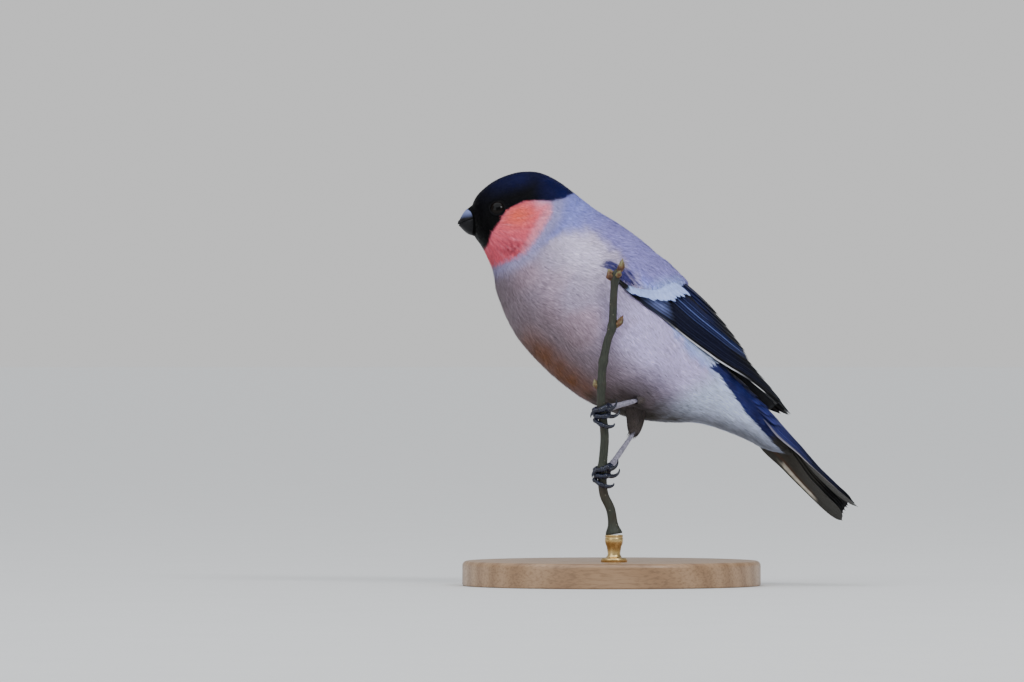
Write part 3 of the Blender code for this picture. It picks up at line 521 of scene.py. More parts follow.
@dataclass
class Body:
    """The feathered body, from the bill's root to the tips of the tail coverts."""

    sections: tuple[Section, ...] = (
        Section((-57.4, -4.2), (-50.6, -10.5), 5.6),
        Section((-58.6, -0.5), (-48.6, -10.7), 7.8),
        Section((-58.5, 3.4), (-46.3, -11.2), 9.2),
        Section((-57.7, 7.2), (-43.9, -12.1), 10.0),
        Section((-55.9, 11.4), (-41.0, -13.3), 10.9),
        Section((-53.0, 15.6), (-38.6, -14.6), 11.8),
        Section((-48.5, 19.2), (-36.2, -16.4), 12.9),
        Section((-42.5, 21.1), (-33.2, -18.8), 14.5),
        Section((-35.0, 21.9), (-29.3, -20.9), 17.0),
        Section((-27.5, 22.5), (-24.4, -23.1), 19.4),
        Section((-19.0, 24.3), (-17.9, -25.2), 22.0),
        Section((-9.0, 25.4), (-8.5, -26.3), 23.8),
        Section((1.0, 25.0), (1.0, -26.3), 24.3),
        Section((11.0, 22.9), (10.5, -25.2), 23.5),
        Section((20.0, 19.6), (19.5, -22.4), 21.4),
        Section((28.0, 17.2), (28.0, -18.2), 18.2),
        Section((36.0, 15.2), (36.5, -11.8), 14.6),
        Section((43.0, 13.9), (43.6, -5.3), 11.6),
        Section((50.0, 13.0), (50.8, -1.6), 9.4),
        Section((57.0, 12.3), (57.8, 1.2), 8.0),
        Section((63.0, 11.6), (64.4, 3.0), 6.4),
        Section((67.5, 10.8), (69.6, 5.4), 4.0),
        Section((71.0, 10.2), (73.0, 7.2), 2.0),
    )
    roundness: Curve = ((-59.0, 0.92), (-55.0, 0.84), (-42.0, 0.86), (-20.0, 0.94))
    back_taper: float = 0.05
    coat_depth: Curve = ((-60, 0.3), (-50, 0.5), (-40, 0.8), (-25, 1.2), (30, 1.5), (50, 1.3), (66, 0.8))
    arm_height: float = 1.5
    bed_height: float = -2.0
    sides: int = 192
    steps: int = 12
    end_share: float = 21 / 22

    def plain(self) -> Array:
        """The body's outline with the wings taken away, as rows of points round it."""
        angles = 2 * math.pi * np.arange(self.sides) / self.sides
        rings = []
        for section in self.sections:
            top = np.array((0.0, *section.top))
            bottom = np.array((0.0, *section.bottom))
            power = float(blend(np.array(section.top[0]), self.roundness))
            side = np.sign(np.cos(angles)) * np.abs(np.cos(angles)) ** power
            rise = np.sign(np.sin(angles)) * np.abs(np.sin(angles)) ** power
            reach = section.half_width * side * (1 - self.back_taper * rise)
            ring = (top + bottom) / 2 + (top - bottom) / 2 * rise[:, None]
            ring[:, 0] += reach
            rings.append(ring)
        return catmull(np.array(rings), self.steps)

    def form(self) -> Form:
        """The body with the swell of the wings' arms, and the hollows under their flight feathers."""
        face = self.plain()
        ahead = np.gradient(face, axis=0)
        around = np.roll(face, -1, axis=1) - np.roll(face, 1, axis=1)
        outward = unit(np.cross(around, ahead))
        centre = face.mean(axis=1, keepdims=True)
        outward *= np.sign(np.sum(outward * (face - centre), axis=-1, keepdims=True))
        along, across, height = WING_SHEET.place(face)
        arm, bed = WING_SHEET.cover(face, 0.0)
        spokes = face - columns(np.zeros_like(along), along, blend(along, WING_SHEET.centre))
        spokes = unit(spokes)
        swell = np.maximum(self.arm_height - height, 0) * arm
        sink = np.minimum(self.bed_height - height, 0) * bed
        face = face + spokes * (swell + sink)[..., None]
        away = np.linalg.norm(face - BIRD.from_row(LEGS["left"].ankle), axis=-1)
        thigh = 2.0 * np.exp((away.min() ** 2 - away**2) / 4.4**2)
        face = face + outward * thigh[..., None]
        depth = blend(face[..., 1], self.coat_depth)
        return Form(face - outward * depth[..., None], face)


@dataclass(frozen=True)
class Leg:
    """One leg in the row frame: the hip inside the belly, the ankle, and where and which way the foot grips."""

    hip: tuple[float, float, float]
    ankle: tuple[float, float, float]
    grip: float
    palm_turn: float
    sunk: float = 0.0
    feathered: float = 0.6


LEGS = {
    "left": Leg((8.0, 0.5, 70.5), (12.4, -9.0, 60.7), 54.8, -34.0, 2.6, 0.97),
    "right": Leg((9.0, 2.5, 66.0), (7.2, -6.5, 49.4), 35.7, -38.0),
}


def tube_shape(spine: Array, radii: Array) -> Callable[[Array, Array], Array]:
    """The shape of a tube along a spine, for shaped().

    Args:
        spine: Points of its centre line.
        radii: Its radius at each of them.

    Returns:
        A function of the share round the tube and the share along it.
    """
    ahead = unit(np.gradient(spine, axis=0))
    sides = [unit(np.cross(ahead[0], (0.31, 0.87, 0.38)))]
    for way in ahead[1:]:
        sides.append(unit(sides[-1] - way * (sides[-1] @ way)))
    sides = np.array(sides)
    tops = np.cross(ahead, sides)
    places = np.linspace(0.0, 1.0, len(spine))

    def pick(table: Array, share: Array) -> Array:
        return np.stack([np.interp(share, places, table[:, k]) for k in range(3)], axis=-1)

    def shape(round_share: Array, share: Array) -> Array:
        angle = 2 * math.pi * round_share
        reach = np.interp(share, places, radii)[..., None]
        spoke = pick(sides, share) * np.cos(angle)[..., None] + pick(tops, share) * np.sin(angle)[..., None]
        return pick(spine, share) + unit(spoke) * reach

    return shape


def shin_form(leg: Leg, palm: Array) -> Form:
    """The feathered cone of one shin, in the bird's frame.

    Args:
        leg: The leg.
        palm: The middle of its foot, towards which the feathers go on a little past the ankle.

    Returns:
        The form, from inside the belly to just past the ankle.
    """
    hip, ankle = np.array(leg.hip), np.array(leg.ankle)
    way, down = unit(ankle - hip), unit(palm - ankle)
    knots = np.stack((hip, (hip + ankle) / 2, ankle - way * 2.0, ankle + down * 1.0, ankle + down * 6.0))
    spine = catmull(knots, 8)
    shares = np.linspace(0.0, 1.0, len(spine))
    radii = blend(shares, ((0.0, 4.4), (0.25, 3.5), (0.5, 2.3), (0.62, 1.9), (0.75, 1.5), (1.0, 1.2)))
    share, turn = np.meshgrid(shares, np.arange(48) / 48, indexing="ij")
    face = tube_shape(spine, radii)(turn, share)
    skin = tube_shape(spine, radii * 0.7)(turn, share)
    return Form(BIRD.from_row(skin), BIRD.from_row(face))


class Finish:
    """A material's node tree, with short calls to add nodes and to join them."""

    def __init__(self, name: str, roughness: float, metallic: float = 0.0) -> None:
        """Start a Principled material.

        Args:
            name: Name of the material.
            roughness: Its even roughness, until a node is joined to it.
            metallic: 1 for metal.
        """
        self.material = bpy.data.materials.new(name)
        self.material.use_nodes = True
        self.tree = self.material.node_tree
        self.shader = self.tree.nodes["Principled BSDF"]
        self.set(Roughness=roughness, Metallic=metallic)

    def set(self, **values: float) -> None:
        """Set the shader's own sockets; an underscore in a name stands for a space."""
        for name, value in values.items():
            self.shader.inputs[name.replace("_", " ")].default_value = value

    def node(self, kind: str, sources: dict[str, object] | None = None, **settings: object) -> bpy.types.Node:
        """Add a node.

        Args:
            kind: The node's type, without its ShaderNode prefix.
            sources: Value or output for each input that isn't left alone.
            settings: The node's own settings.

        Returns:
            The node.
        """
        made = self.tree.nodes.new("ShaderNode" + kind)
        for name, value in settings.items():
            setattr(made, name, value)
        for name, source in (sources or {}).items():
            socket = made.inputs[int(name)] if name.isdigit() else made.inputs[name]
            if isinstance(source, bpy.types.NodeSocket):
                self.tree.links.new(source, socket)
            else:
                socket.default_value = source
        return made

    def places(self) -> bpy.types.NodeSocket:
        """Object coordinates."""
        return self.node("TexCoord").outputs["Object"]

    def noise(self, where: object, scale: float, detail: float = 4.0, roughness: float = 0.55) -> object:
        """The value of a noise texture."""
        sources = {"Vector": where, "Scale": scale, "Detail": detail, "Roughness": roughness}
        return self.node("TexNoise", sources).outputs[0]

    def ramp(self, value: object, stops: Sequence[tuple[float, tuple[float, ...]]]) -> object:
        """Colours along a value."""
        made = self.node("ValToRGB", {"Fac": value})
        slots = made.color_ramp.elements
        while len(slots) < len(stops):
            slots.new(0.5)
        for slot, (place, colour) in zip(slots, stops):
            slot.position = place
            slot.color = (*colour, 1.0)
        return made.outputs["Color"]

    def span(self, value: object, low: float, high: float, start: float = 0.0, end: float = 1.0) -> object:
        """A value from start to end, taken from low to high and held past them."""
        sources = {"Value": value, "From Min": start, "From Max": end, "To Min": low, "To Max": high}
        return self.node("MapRange", sources).outputs["Result"]

    def mix(self, share: object, first: object, last: object, mode: str = "MIX") -> object:
        """Two colours mixed."""
        made = self.node("Mix", data_type="RGBA", blend_type=mode)
        for index, source in ((0, share), (6, first), (7, last)):
            if isinstance(source, bpy.types.NodeSocket):
                self.tree.links.new(source, made.inputs[index])
            elif index:
                made.inputs[index].default_value = (*source, 1.0)
            else:
                made.inputs[index].default_value = source
        return made.outputs[2]

    def math(self, operation: str, first: object, second: object = 0.0) -> object:
        """A sum on two values."""
        return self.node("Math", {"0": first, "1": second}, operation=operation).outputs[0]

    def bump(self, height: object, strength: float, distance: float, under: object = None) -> object:
        """A normal from a height, over another normal if one is given."""
        sources = {"Height": height, "Strength": strength, "Distance": distance}
        if under is not None:
            sources["Normal"] = under
        return self.node("Bump", sources).outputs["Normal"]

    def wear(self, colour: object = None, roughness: object = None, normal: object = None) -> bpy.types.Material:
        """Join nodes to the shader's colour, roughness and normal, and give the material."""
        for name, source in (("Base Color", colour), ("Roughness", roughness), ("Normal", normal)):
            if source is not None:
                self.tree.links.new(source, self.shader.inputs[name])
        return self.material


@dataclass(frozen=True)
class Plumage:
    """The finish of soft feathers, coloured by the markings kept in their plumage attribute."""

    name: str
    gloss: float = 0.0

    def make(self) -> bpy.types.Material:
        """Build the material."""
        finish = Finish(self.name, 0.75 - 0.3 * self.gloss)
        finish.set(Specular_IOR_Level=0.14 - 0.05 * self.gloss, Sheen_Weight=0.06 * (1 - self.gloss))
        colour = finish.node("Attribute", attribute_name="plumage").outputs["Color"]
        where = finish.places()
        fine = finish.noise(where, 900.0, 3.0)
        broad = finish.noise(where, 150.0, 3.0)
        shade = finish.ramp(fine, ((0.25, (0.92, 0.92, 0.92)), (0.75, (1.05, 1.05, 1.05))))
        cast = finish.ramp(broad, ((0.3, (0.94, 0.93, 0.94)), (0.7, (1.05, 1.05, 1.06))))
        colour = finish.mix(1.0, colour, shade, "MULTIPLY")
        colour = finish.mix(1.0, colour, cast, "MULTIPLY")
        rough = finish.span(fine, 0.62 - 0.26 * self.gloss, 0.86 - 0.3 * self.gloss, 0.3, 0.7)
        return finish.wear(colour, rough, finish.bump(fine, 0.12, 0.0002))


@dataclass(frozen=True)
class VaneFinish:
    """The finish of flight and tail feathers: barbs that slant from the shaft, and a silky gloss."""

    name: str
    roughness: float = 0.38
    barb_scale: float = 2400.0

    def make(self) -> bpy.types.Material:
        """Build the material."""
        finish = Finish(self.name, self.roughness)
        finish.set(Specular_IOR_Level=0.13, Coat_Weight=0.03, Coat_Roughness=0.3)
        colour = finish.node("Attribute", attribute_name="plumage").outputs["Color"]
        place = finish.node("UVMap", uv_map="Vane").outputs["UV"]
        slanted = finish.node("SeparateXYZ", {"Vector": place})
        across = finish.math("ABSOLUTE", slanted.outputs["X"])
        slope = finish.math("SUBTRACT", slanted.outputs["Y"], finish.math("MULTIPLY", across, 1.5))
        barbs = finish.math("SINE", finish.math("MULTIPLY", slope, self.barb_scale * 6.3))
        ripple = finish.noise(place, 700.0, 3.0)
        shade = finish.ramp(ripple, ((0.3, (0.82, 0.82, 0.84)), (0.7, (1.16, 1.16, 1.14))))
        colour = finish.mix(1.0, colour, shade, "MULTIPLY")
        rough = finish.span(ripple, self.roughness - 0.08, self.roughness + 0.14, 0.3, 0.7)
        normal = finish.bump(finish.span(barbs, 0.0, 1.0, -1.0, 1.0), 0.3, 0.00008)
        return finish.wear(colour, rough, finish.bump(ripple, 0.2, 0.0001, normal))


class Slot(Enum):
    """The record's material slots."""

    CAP = "black_cap"
    MANTLE = "grey_mantle"
    BREAST = "rosy_breast"
    VENT = "white_vent"
    FLIGHT = "blue_black_flight"
    HORN = "dark_horn"
    EYE = "dark_eye"
    LEG = "dusky_leg"
    BARK = "green_bark"
    METAL = "stand_metal"
    WOOD = "stand_wood"


def new_object(name: str, mesh: bpy.types.Mesh, slot: Slot, *replaced: str) -> bpy.types.Object:
    """An object of the model, which rides on the model's only body.

    Args:
        name: Name of the piece.
        mesh: Its mesh, in metres of the row frame.
        slot: The record's material slot; not used.
        replaced: The frame's nodes that it stands for.

    Returns:
        The object.
    """
    made = bpy.data.objects.new(name, mesh)
    bpy.context.scene.collection.objects.link(made)
    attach(made, "root")
    if replaced:
        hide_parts(*replaced)
    LOG.info("%s: %s faces", name, len(mesh.polygons))
    return made


def shaped(
    across: int, along: int, shape: Callable[[Array, Array], Array], ground: Ground, ends: bool = False
) -> bmesh.types.BMesh:
    """A grid bent into a shape, with its seam and poles closed.

    Args:
        across: Faces in the first direction.
        along: Faces in the second direction.
        shape: Gives millimetre points from two shares, each from 0 to 1.
        ground: The frame that these points are in.
        ends: Whether open ends are closed with a face.

    Returns:
        The mesh in metres of the row frame, with its faces outwards.
    """
    bm = bmesh.new()
    bmesh.ops.create_grid(bm, x_segments=across, y_segments=along, size=0.5)
    shares = np.array([vert.co[:2] for vert in bm.verts]) + 0.5
    points = ground.metres(shape(shares[:, 0], shares[:, 1]))
    for vert, point in zip(bm.verts, points):
        vert.co = point
    bmesh.ops.remove_doubles(bm, verts=bm.verts, dist=1e-7)
    if ends:
        bmesh.ops.holes_fill(bm, edges=[edge for edge in bm.edges if edge.is_boundary], sides=0)
    bmesh.ops.recalc_face_normals(bm, faces=bm.faces)
    return bm


def finished(
    bm: bmesh.types.BMesh, name: str, material: bpy.types.Material, slot: Slot, *replaced: str
) -> bpy.types.Object:
    """A smooth object from a mesh in metres of the row frame.

    Args:
        bm: The mesh, which is freed.
        name: Name of the piece.
        material: Its finish.
        slot: The record's material slot, handed on to new_object.
        replaced: The frame's nodes that it stands for.

    Returns:
        The object.
    """
    mesh = bpy.data.meshes.new(name)
    bm.to_mesh(mesh)
    bm.free()
    mesh.shade_smooth()
    mesh.materials.append(material)
    return new_object(name, mesh, slot, *replaced)


def gathered(meshes: Sequence[bmesh.types.BMesh]) -> bmesh.types.BMesh:
    """Several meshes as one, the given ones freed."""
    whole = bmesh.new()
    for bm in meshes:
        part = bpy.data.meshes.new("part")
        bm.to_mesh(part)
        bm.free()
        whole.from_mesh(part)
        bpy.data.meshes.remove(part)
    return whole


def colour_points(mesh: bpy.types.Mesh, colours: Array) -> None:
    """Keep a linear colour for each vertex in the plumage attribute."""
    layer = mesh.attributes.new("plumage", "FLOAT_COLOR", "POINT")
    values = np.concatenate([colours, np.ones((len(colours), 1))], axis=1)
    layer.data.foreach_set("color", values.astype(np.float32).ravel())


@dataclass(frozen=True)
class Skin:
    """The one skin of the bird, from the bill to the tail coverts and down both shins."""

    body: Form
    shins: dict[str, Form]
    across: int = 160
    along: int = 260
    # painted shade: the skin's colours are darkened, as if in the shadow of the coat over it
    shade: float = 0.6
    shin_share: float = 0.68

    def build(self, material: bpy.types.Material) -> bpy.types.Object:
        """Build the skin.

        Args:
            material: Its finish.

        Returns:
            The object.
        """

        def trunk(turn: Array, share: Array) -> Array:
            bare = self.body.sample(self.body.skin, share, turn)
            middle = self.body.sample(np.repeat(self.body.skin.mean(axis=1, keepdims=True), 2, axis=1), share, turn)
            pinch = np.maximum(ease(share * 300 - 299.0), 1 - ease(share * 300))
            return lerp(bare, middle, pinch[:, None])

        meshes = [shaped(self.across, self.along, trunk, ON_BIRD)]
        for form in self.shins.values():

            def shin(turn: Array, share: Array, form: Form = form) -> Array:
                return form.sample(form.skin, share * self.shin_share, turn)

            meshes.append(shaped(32, 24, shin, ON_BIRD, True))
        bm = gathered(meshes)
        bmesh.ops.recalc_face_normals(bm, faces=bm.faces)
        nodes = ("head", "neck", "torso", "rump", "shin_left", "shin_right")
        made = finished(bm, "skin", material, Slot.BREAST, *nodes)
        places = np.empty(len(made.data.vertices) * 3)
        made.data.vertices.foreach_get("co", places)
        row = places.reshape(-1, 3) / MM
        colours = MARKINGS.colours(untwisted(row))
        # painted shade on the skin's colours
        colour_points(made.data, colours * self.shade)
        return made


def untwisted(row: Array) -> Array:
    """Points of the bird's frame from points of the row frame in millimetres, the neck's untwisting undone."""
    x, y, z = np.moveaxis(BIRD.from_row(row), -1, 0)
    share = 1 - ease((y - BIRD.twist_from) / (BIRD.twist_to - BIRD.twist_from))
    turn = -np.radians((BIRD.bank - BIRD.head_bank) * share)
    return columns(x * np.cos(turn) + z * np.sin(turn), y, z * np.cos(turn) - x * np.sin(turn))


@dataclass(frozen=True)
class Tufts:
    """A kind of tuft: a fan of thin barbs, whose size follows the place along the bird."""

    length: Curve
    barbs: int = 7
    rows: int = 5
    width_share: float = 0.42
    barb_share: float = 0.034
    overlap: float = 15.0
    lift: float = 1.0
    rise_power: float = 0.6
    streaks: float = 0.10


@dataclass(frozen=True)
class Patch:
    """A part of the coat that is one piece: its name, its slot, and which roots belong to it."""

    name: str
    slot: Slot
    holds: Callable[[Array], Array]


def bare_under_wing(points: Array) -> Array:
    """Whether a tuft may stand here, which none does under the flight feathers."""
    _, bed = WING_SHEET.cover(points, -0.6)
    return bed < 0.5 + 0.3 * waver(points, 2.0, 77)


def straight(points: Array) -> Array:
    """No lean to either side."""
    return np.zeros(len(points))


@dataclass
class Coat:
    """The soft plumage: tufts rooted in a form's skin, laid along its rows."""

    form: Form
    tufts: Tufts
    seed: int
    patches: tuple[Patch, ...]
    lean: Callable[[Array], Array] = straight
    palette: Callable[[Array], Array] = MARKINGS.colours
    first: float = 0.0
    last: float = 1.0

    def roots(self) -> tuple[Array, Array]:
        """Where the tufts stand: shares along and round the form, spread evenly by a fixed sequence."""
        steps = self.form.steps
        rows, count = steps.shape[:2]
        middles = (self.form.face[1:] + self.form.face[:-1]) / 2
        size = blend(middles[..., 1], self.tufts.length)
        density = self.tufts.overlap / (size**2 * self.tufts.width_share)
        area = (steps[1:, :, 0] + steps[:-1, :, 0]) / 2 / (rows - 1) * (steps[1:, :, 1] + steps[:-1, :, 1]) / 2 / count
        shares = (np.arange(rows - 1) + 0.5) / (rows - 1)
        inside = ((shares >= self.first) & (shares <= self.last))[:, None]
        mass = area * density * inside
        total = int(mass.sum())
        index = np.arange(total)
        first = (0.5 + index * 0.7548776662466927) % 1.0
        second = (0.5 + index * 0.5698402909980532) % 1.0
        by_row = np.concatenate([[0.0], np.cumsum(mass.sum(axis=1))])
        along = np.interp(first * by_row[-1], by_row, np.linspace(0, 1, rows))
        row = np.minimum((along * (rows - 1)).astype(int), rows - 2)
        by_column = np.concatenate([np.zeros((rows - 1, 1)), np.cumsum(mass, axis=1)], axis=1)
        by_column /= np.maximum(by_column[:, -1:], 1e-9)
        spots = np.linspace(0, 1, count + 1)
        turn = np.empty(total)
        for k in np.unique(row):
            chosen = row == k
            turn[chosen] = np.interp(second[chosen], by_column[k], spots)
        rng = np.random.default_rng(self.seed)
        step = self.form.sample(steps, along, turn)
        spread = rng.normal(size=(total, 2)) * 0.12 / step
        return np.clip(along + spread[:, 0], self.first, self.last), turn + spread[:, 1]

    def grow(self, along: Array, turn: Array, rng: np.random.Generator) -> dict[str, Array]:
        """Work out the tufts that stand at these roots.

        Args:
            along: Shares along the form.
            turn: Shares round it.
            rng: Source of their differences.

        Returns:
            Points, normals, colours and bake places, by tuft, barb, row and edge.
        """
        kind = self.tufts
        face = self.form.sample(self.form.face, along, turn)
        count = len(along)
        size = blend(face[:, 1], kind.length) * rng.uniform(0.8, 1.2, count)
        wide = size * kind.width_share
        step = self.form.sample(self.form.steps, along, turn)
        drift = self.lean(face) + 0.16 * waver(face, 8.0, self.seed + 2) + rng.normal(size=count) * 0.06
        lift = kind.lift * (1 + rng.normal(size=count) * 0.06)
        spots = np.linspace(-1.0, 1.0, kind.barbs)
        rows = np.linspace(0.0, 1.0, kind.rows)
        barb = (count, kind.barbs, 1)
        reach = (1 - 0.25 * spots**2)[None, :, None] * rng.uniform(0.75, 1.1, barb)
        out = rows**0.8
        fan = spots[None, :, None] * (0.26 + 0.40 * out) + rng.normal(size=barb) * 0.09 * out
        ahead = rows * reach * size[:, None, None]
        aside = fan * wide[:, None, None]
        girth = np.interp(rows, (0, 0.4, 0.8, 1.0), (0.8, 1.0, 0.75, 0.0)) * kind.barb_share * size[:, None, None]
        raised = lift[:, None, None] * rows**kind.rise_power + rng.normal(size=barb) * 0.05 * rows
        raised = raised - 0.10 * spots[None, :, None] ** 2 * rows
        edges = np.stack((aside - girth, aside + girth), axis=-1)
        ahead = np.broadcast_to(ahead[..., None], edges.shape)
        raised = np.broadcast_to(raised[..., None], edges.shape)
        lay = drift[:, None, None, None]
        forward = ahead * np.cos(lay) - edges * np.sin(lay)
        sideways = ahead * np.sin(lay) + edges * np.cos(lay)
        at_along = along[:, None, None, None] + forward / step[:, 0, None, None, None]
        at_turn = turn[:, None, None, None] + sideways / step[:, 1, None, None, None]
        points = self.form.point(at_along, at_turn, np.maximum(raised, -0.3))
        up = unit(face - self.form.sample(self.form.skin, along, turn))[:, None, None, None, :]
        tilt = rng.normal(size=(*barb, 1, 3)) * 0.12
        normals = np.broadcast_to(unit(up + tilt), points.shape)
        seen = self.form.sample(self.form.face, at_along[:, :, -2, 0], at_turn[:, :, -2, 0])
        colours = self.palette(seen) * (1 + rng.normal(size=(count, 1, 1)) * 0.02)
        # painted shade: each barb darker towards its root, where the tufts over it shade it
        deep = np.interp(rows, (0, 0.5, 1), (0.72, 0.92, 1.03))
        odd = rng.random((*barb, 1))
        streak = 1 + rng.normal(size=(*barb, 1)) * kind.streaks + (odd < 0.06) * 0.24 - (odd > 0.95) * 0.2
        colours = colours[:, :, None, :] * deep[None, None, :, None] * streak
        bake_u = turn[:, None, None, None] + edges / (np.abs(wide).max() * 2) * 0.003
        bake_v = along[:, None, None, None] + (ahead / (size.max() * 1.3) - 0.5) * 0.003
        return {
            "points": points,
            "normals": normals,
            "colours": np.broadcast_to(colours[..., None, :], points.shape),
            "bake": np.stack(np.broadcast_arrays(np.clip(bake_u, 0, 1), np.clip(bake_v, 0, 1)), axis=-1),
        }

    def build(self, material: bpy.types.Material, keep_clear: Callable[[Array], Array]) -> int:
        """Make the coat's pieces, each of fewer than 200,000 triangles.

        Args:
            material: Their finish.
            keep_clear: Tells which tufts, given their points, would stand in the way of something.

        Returns:
            The number of triangles.
        """
        along, turn = self.roots()
        face = self.form.sample(self.form.face, along, turn)
        free = bare_under_wing(face)
        each = self.tufts.barbs * (2 * (self.tufts.rows - 2) + 1)
        total = 0
        for number, patch in enumerate(self.patches):
            chosen = free & patch.holds(face)
            free = free & ~chosen
            if not chosen.any():
                continue
            rng = np.random.default_rng(self.seed + 10 * number + 1)
            grown = self.grow(along[chosen], turn[chosen], rng)
            clear = ~keep_clear(grown["points"])
            order = np.flatnonzero(clear)[np.argsort(grown["points"][clear, 0, 0, 0, 1], kind="stable")]
            shares = math.ceil(len(order) * each / 190000)
            for part, few in enumerate(np.array_split(order, shares)):
                name = patch.name if shares == 1 else f"{patch.name}_{part + 1}"
                mesh = strip_mesh(name, {key: table[few] for key, table in grown.items()})
                mesh.materials.append(material)
                new_object(name, mesh, patch.slot)
            total += len(order) * each
        return total


def strip_mesh(name: str, tables: dict[str, Array]) -> bpy.types.Mesh:
    """A mesh of many flat barbs, each a strip that ends in a point.

    Args:
        name: Name of the mesh.
        tables: Points, normals, colours and bake places in the bird's frame, by tuft, barb, row and edge.

    Returns:
        The mesh, with its plumage attribute and its OFBake map.
    """
    rows = tables["points"].shape[2]
    barbs = tables["points"].shape[0] * tables["points"].shape[1]
    flat = {key: table.reshape(barbs, rows * 2, -1)[:, :-1] for key, table in tables.items()}
    corner = rows * 2 - 1
    strip = []
    for k in range(rows - 2):
        near = 2 * k
        strip += [(near, near + 1, near + 3), (near, near + 3, near + 2)]
    strip.append((corner - 3, corner - 2, corner - 1))
    places = ON_BIRD.metres(flat["points"].reshape(-1, 3))
    ways = unit(ON_BIRD.metres((flat["points"] + flat["normals"] * 0.05).reshape(-1, 3)) - places)
    faces = (np.array(strip)[None] + np.arange(barbs)[:, None, None] * corner).reshape(-1, 3)
    first, second, third = (places[faces[:, k]] for k in range(3))
    facing = np.sum(np.cross(second - first, third - first) * ways[faces[:, 0]], axis=-1)
    if facing.sum() < 0:
        faces = faces[:, ::-1]
    mesh = bpy.data.meshes.new(name)
    mesh.vertices.add(barbs * corner)
    mesh.vertices.foreach_set("co", places.astype(np.float32).ravel())
    mesh.loops.add(faces.size)
    mesh.loops.foreach_set("vertex_index", faces.astype(np.int32).ravel())
    mesh.polygons.add(len(faces))
    mesh.polygons.foreach_set("loop_start", np.arange(0, faces.size, 3, dtype=np.int32))
    mesh.update(calc_edges=True)
    colour_points(mesh, flat["colours"].reshape(-1, 3))
    layer = mesh.uv_layers.new(name="OFBake")
    layer.uv.foreach_set("vector", flat["bake"].reshape(-1, 2)[faces.ravel()].astype(np.float32).ravel())
    mesh.shade_smooth()
    mesh.normals_split_custom_set_from_vertices(ways.astype(np.float32))
    return mesh


class Tier(Enum):
    """The tiers of larger feathers, which differ in how their colours lie."""

    PRIMARY = "primary"
    OUTER_PRIMARY = "outer primary"
    SECONDARY = "secondary"
    TERTIAL = "tertial"
    GREATER_COVERT = "greater covert"
    PRIMARY_COVERT = "primary covert"
    WRIST_COVERT = "wrist covert"
    TAIL = "tail"
    OUTER_TAIL = "outer tail"
    TAIL_COVERT = "tail covert"


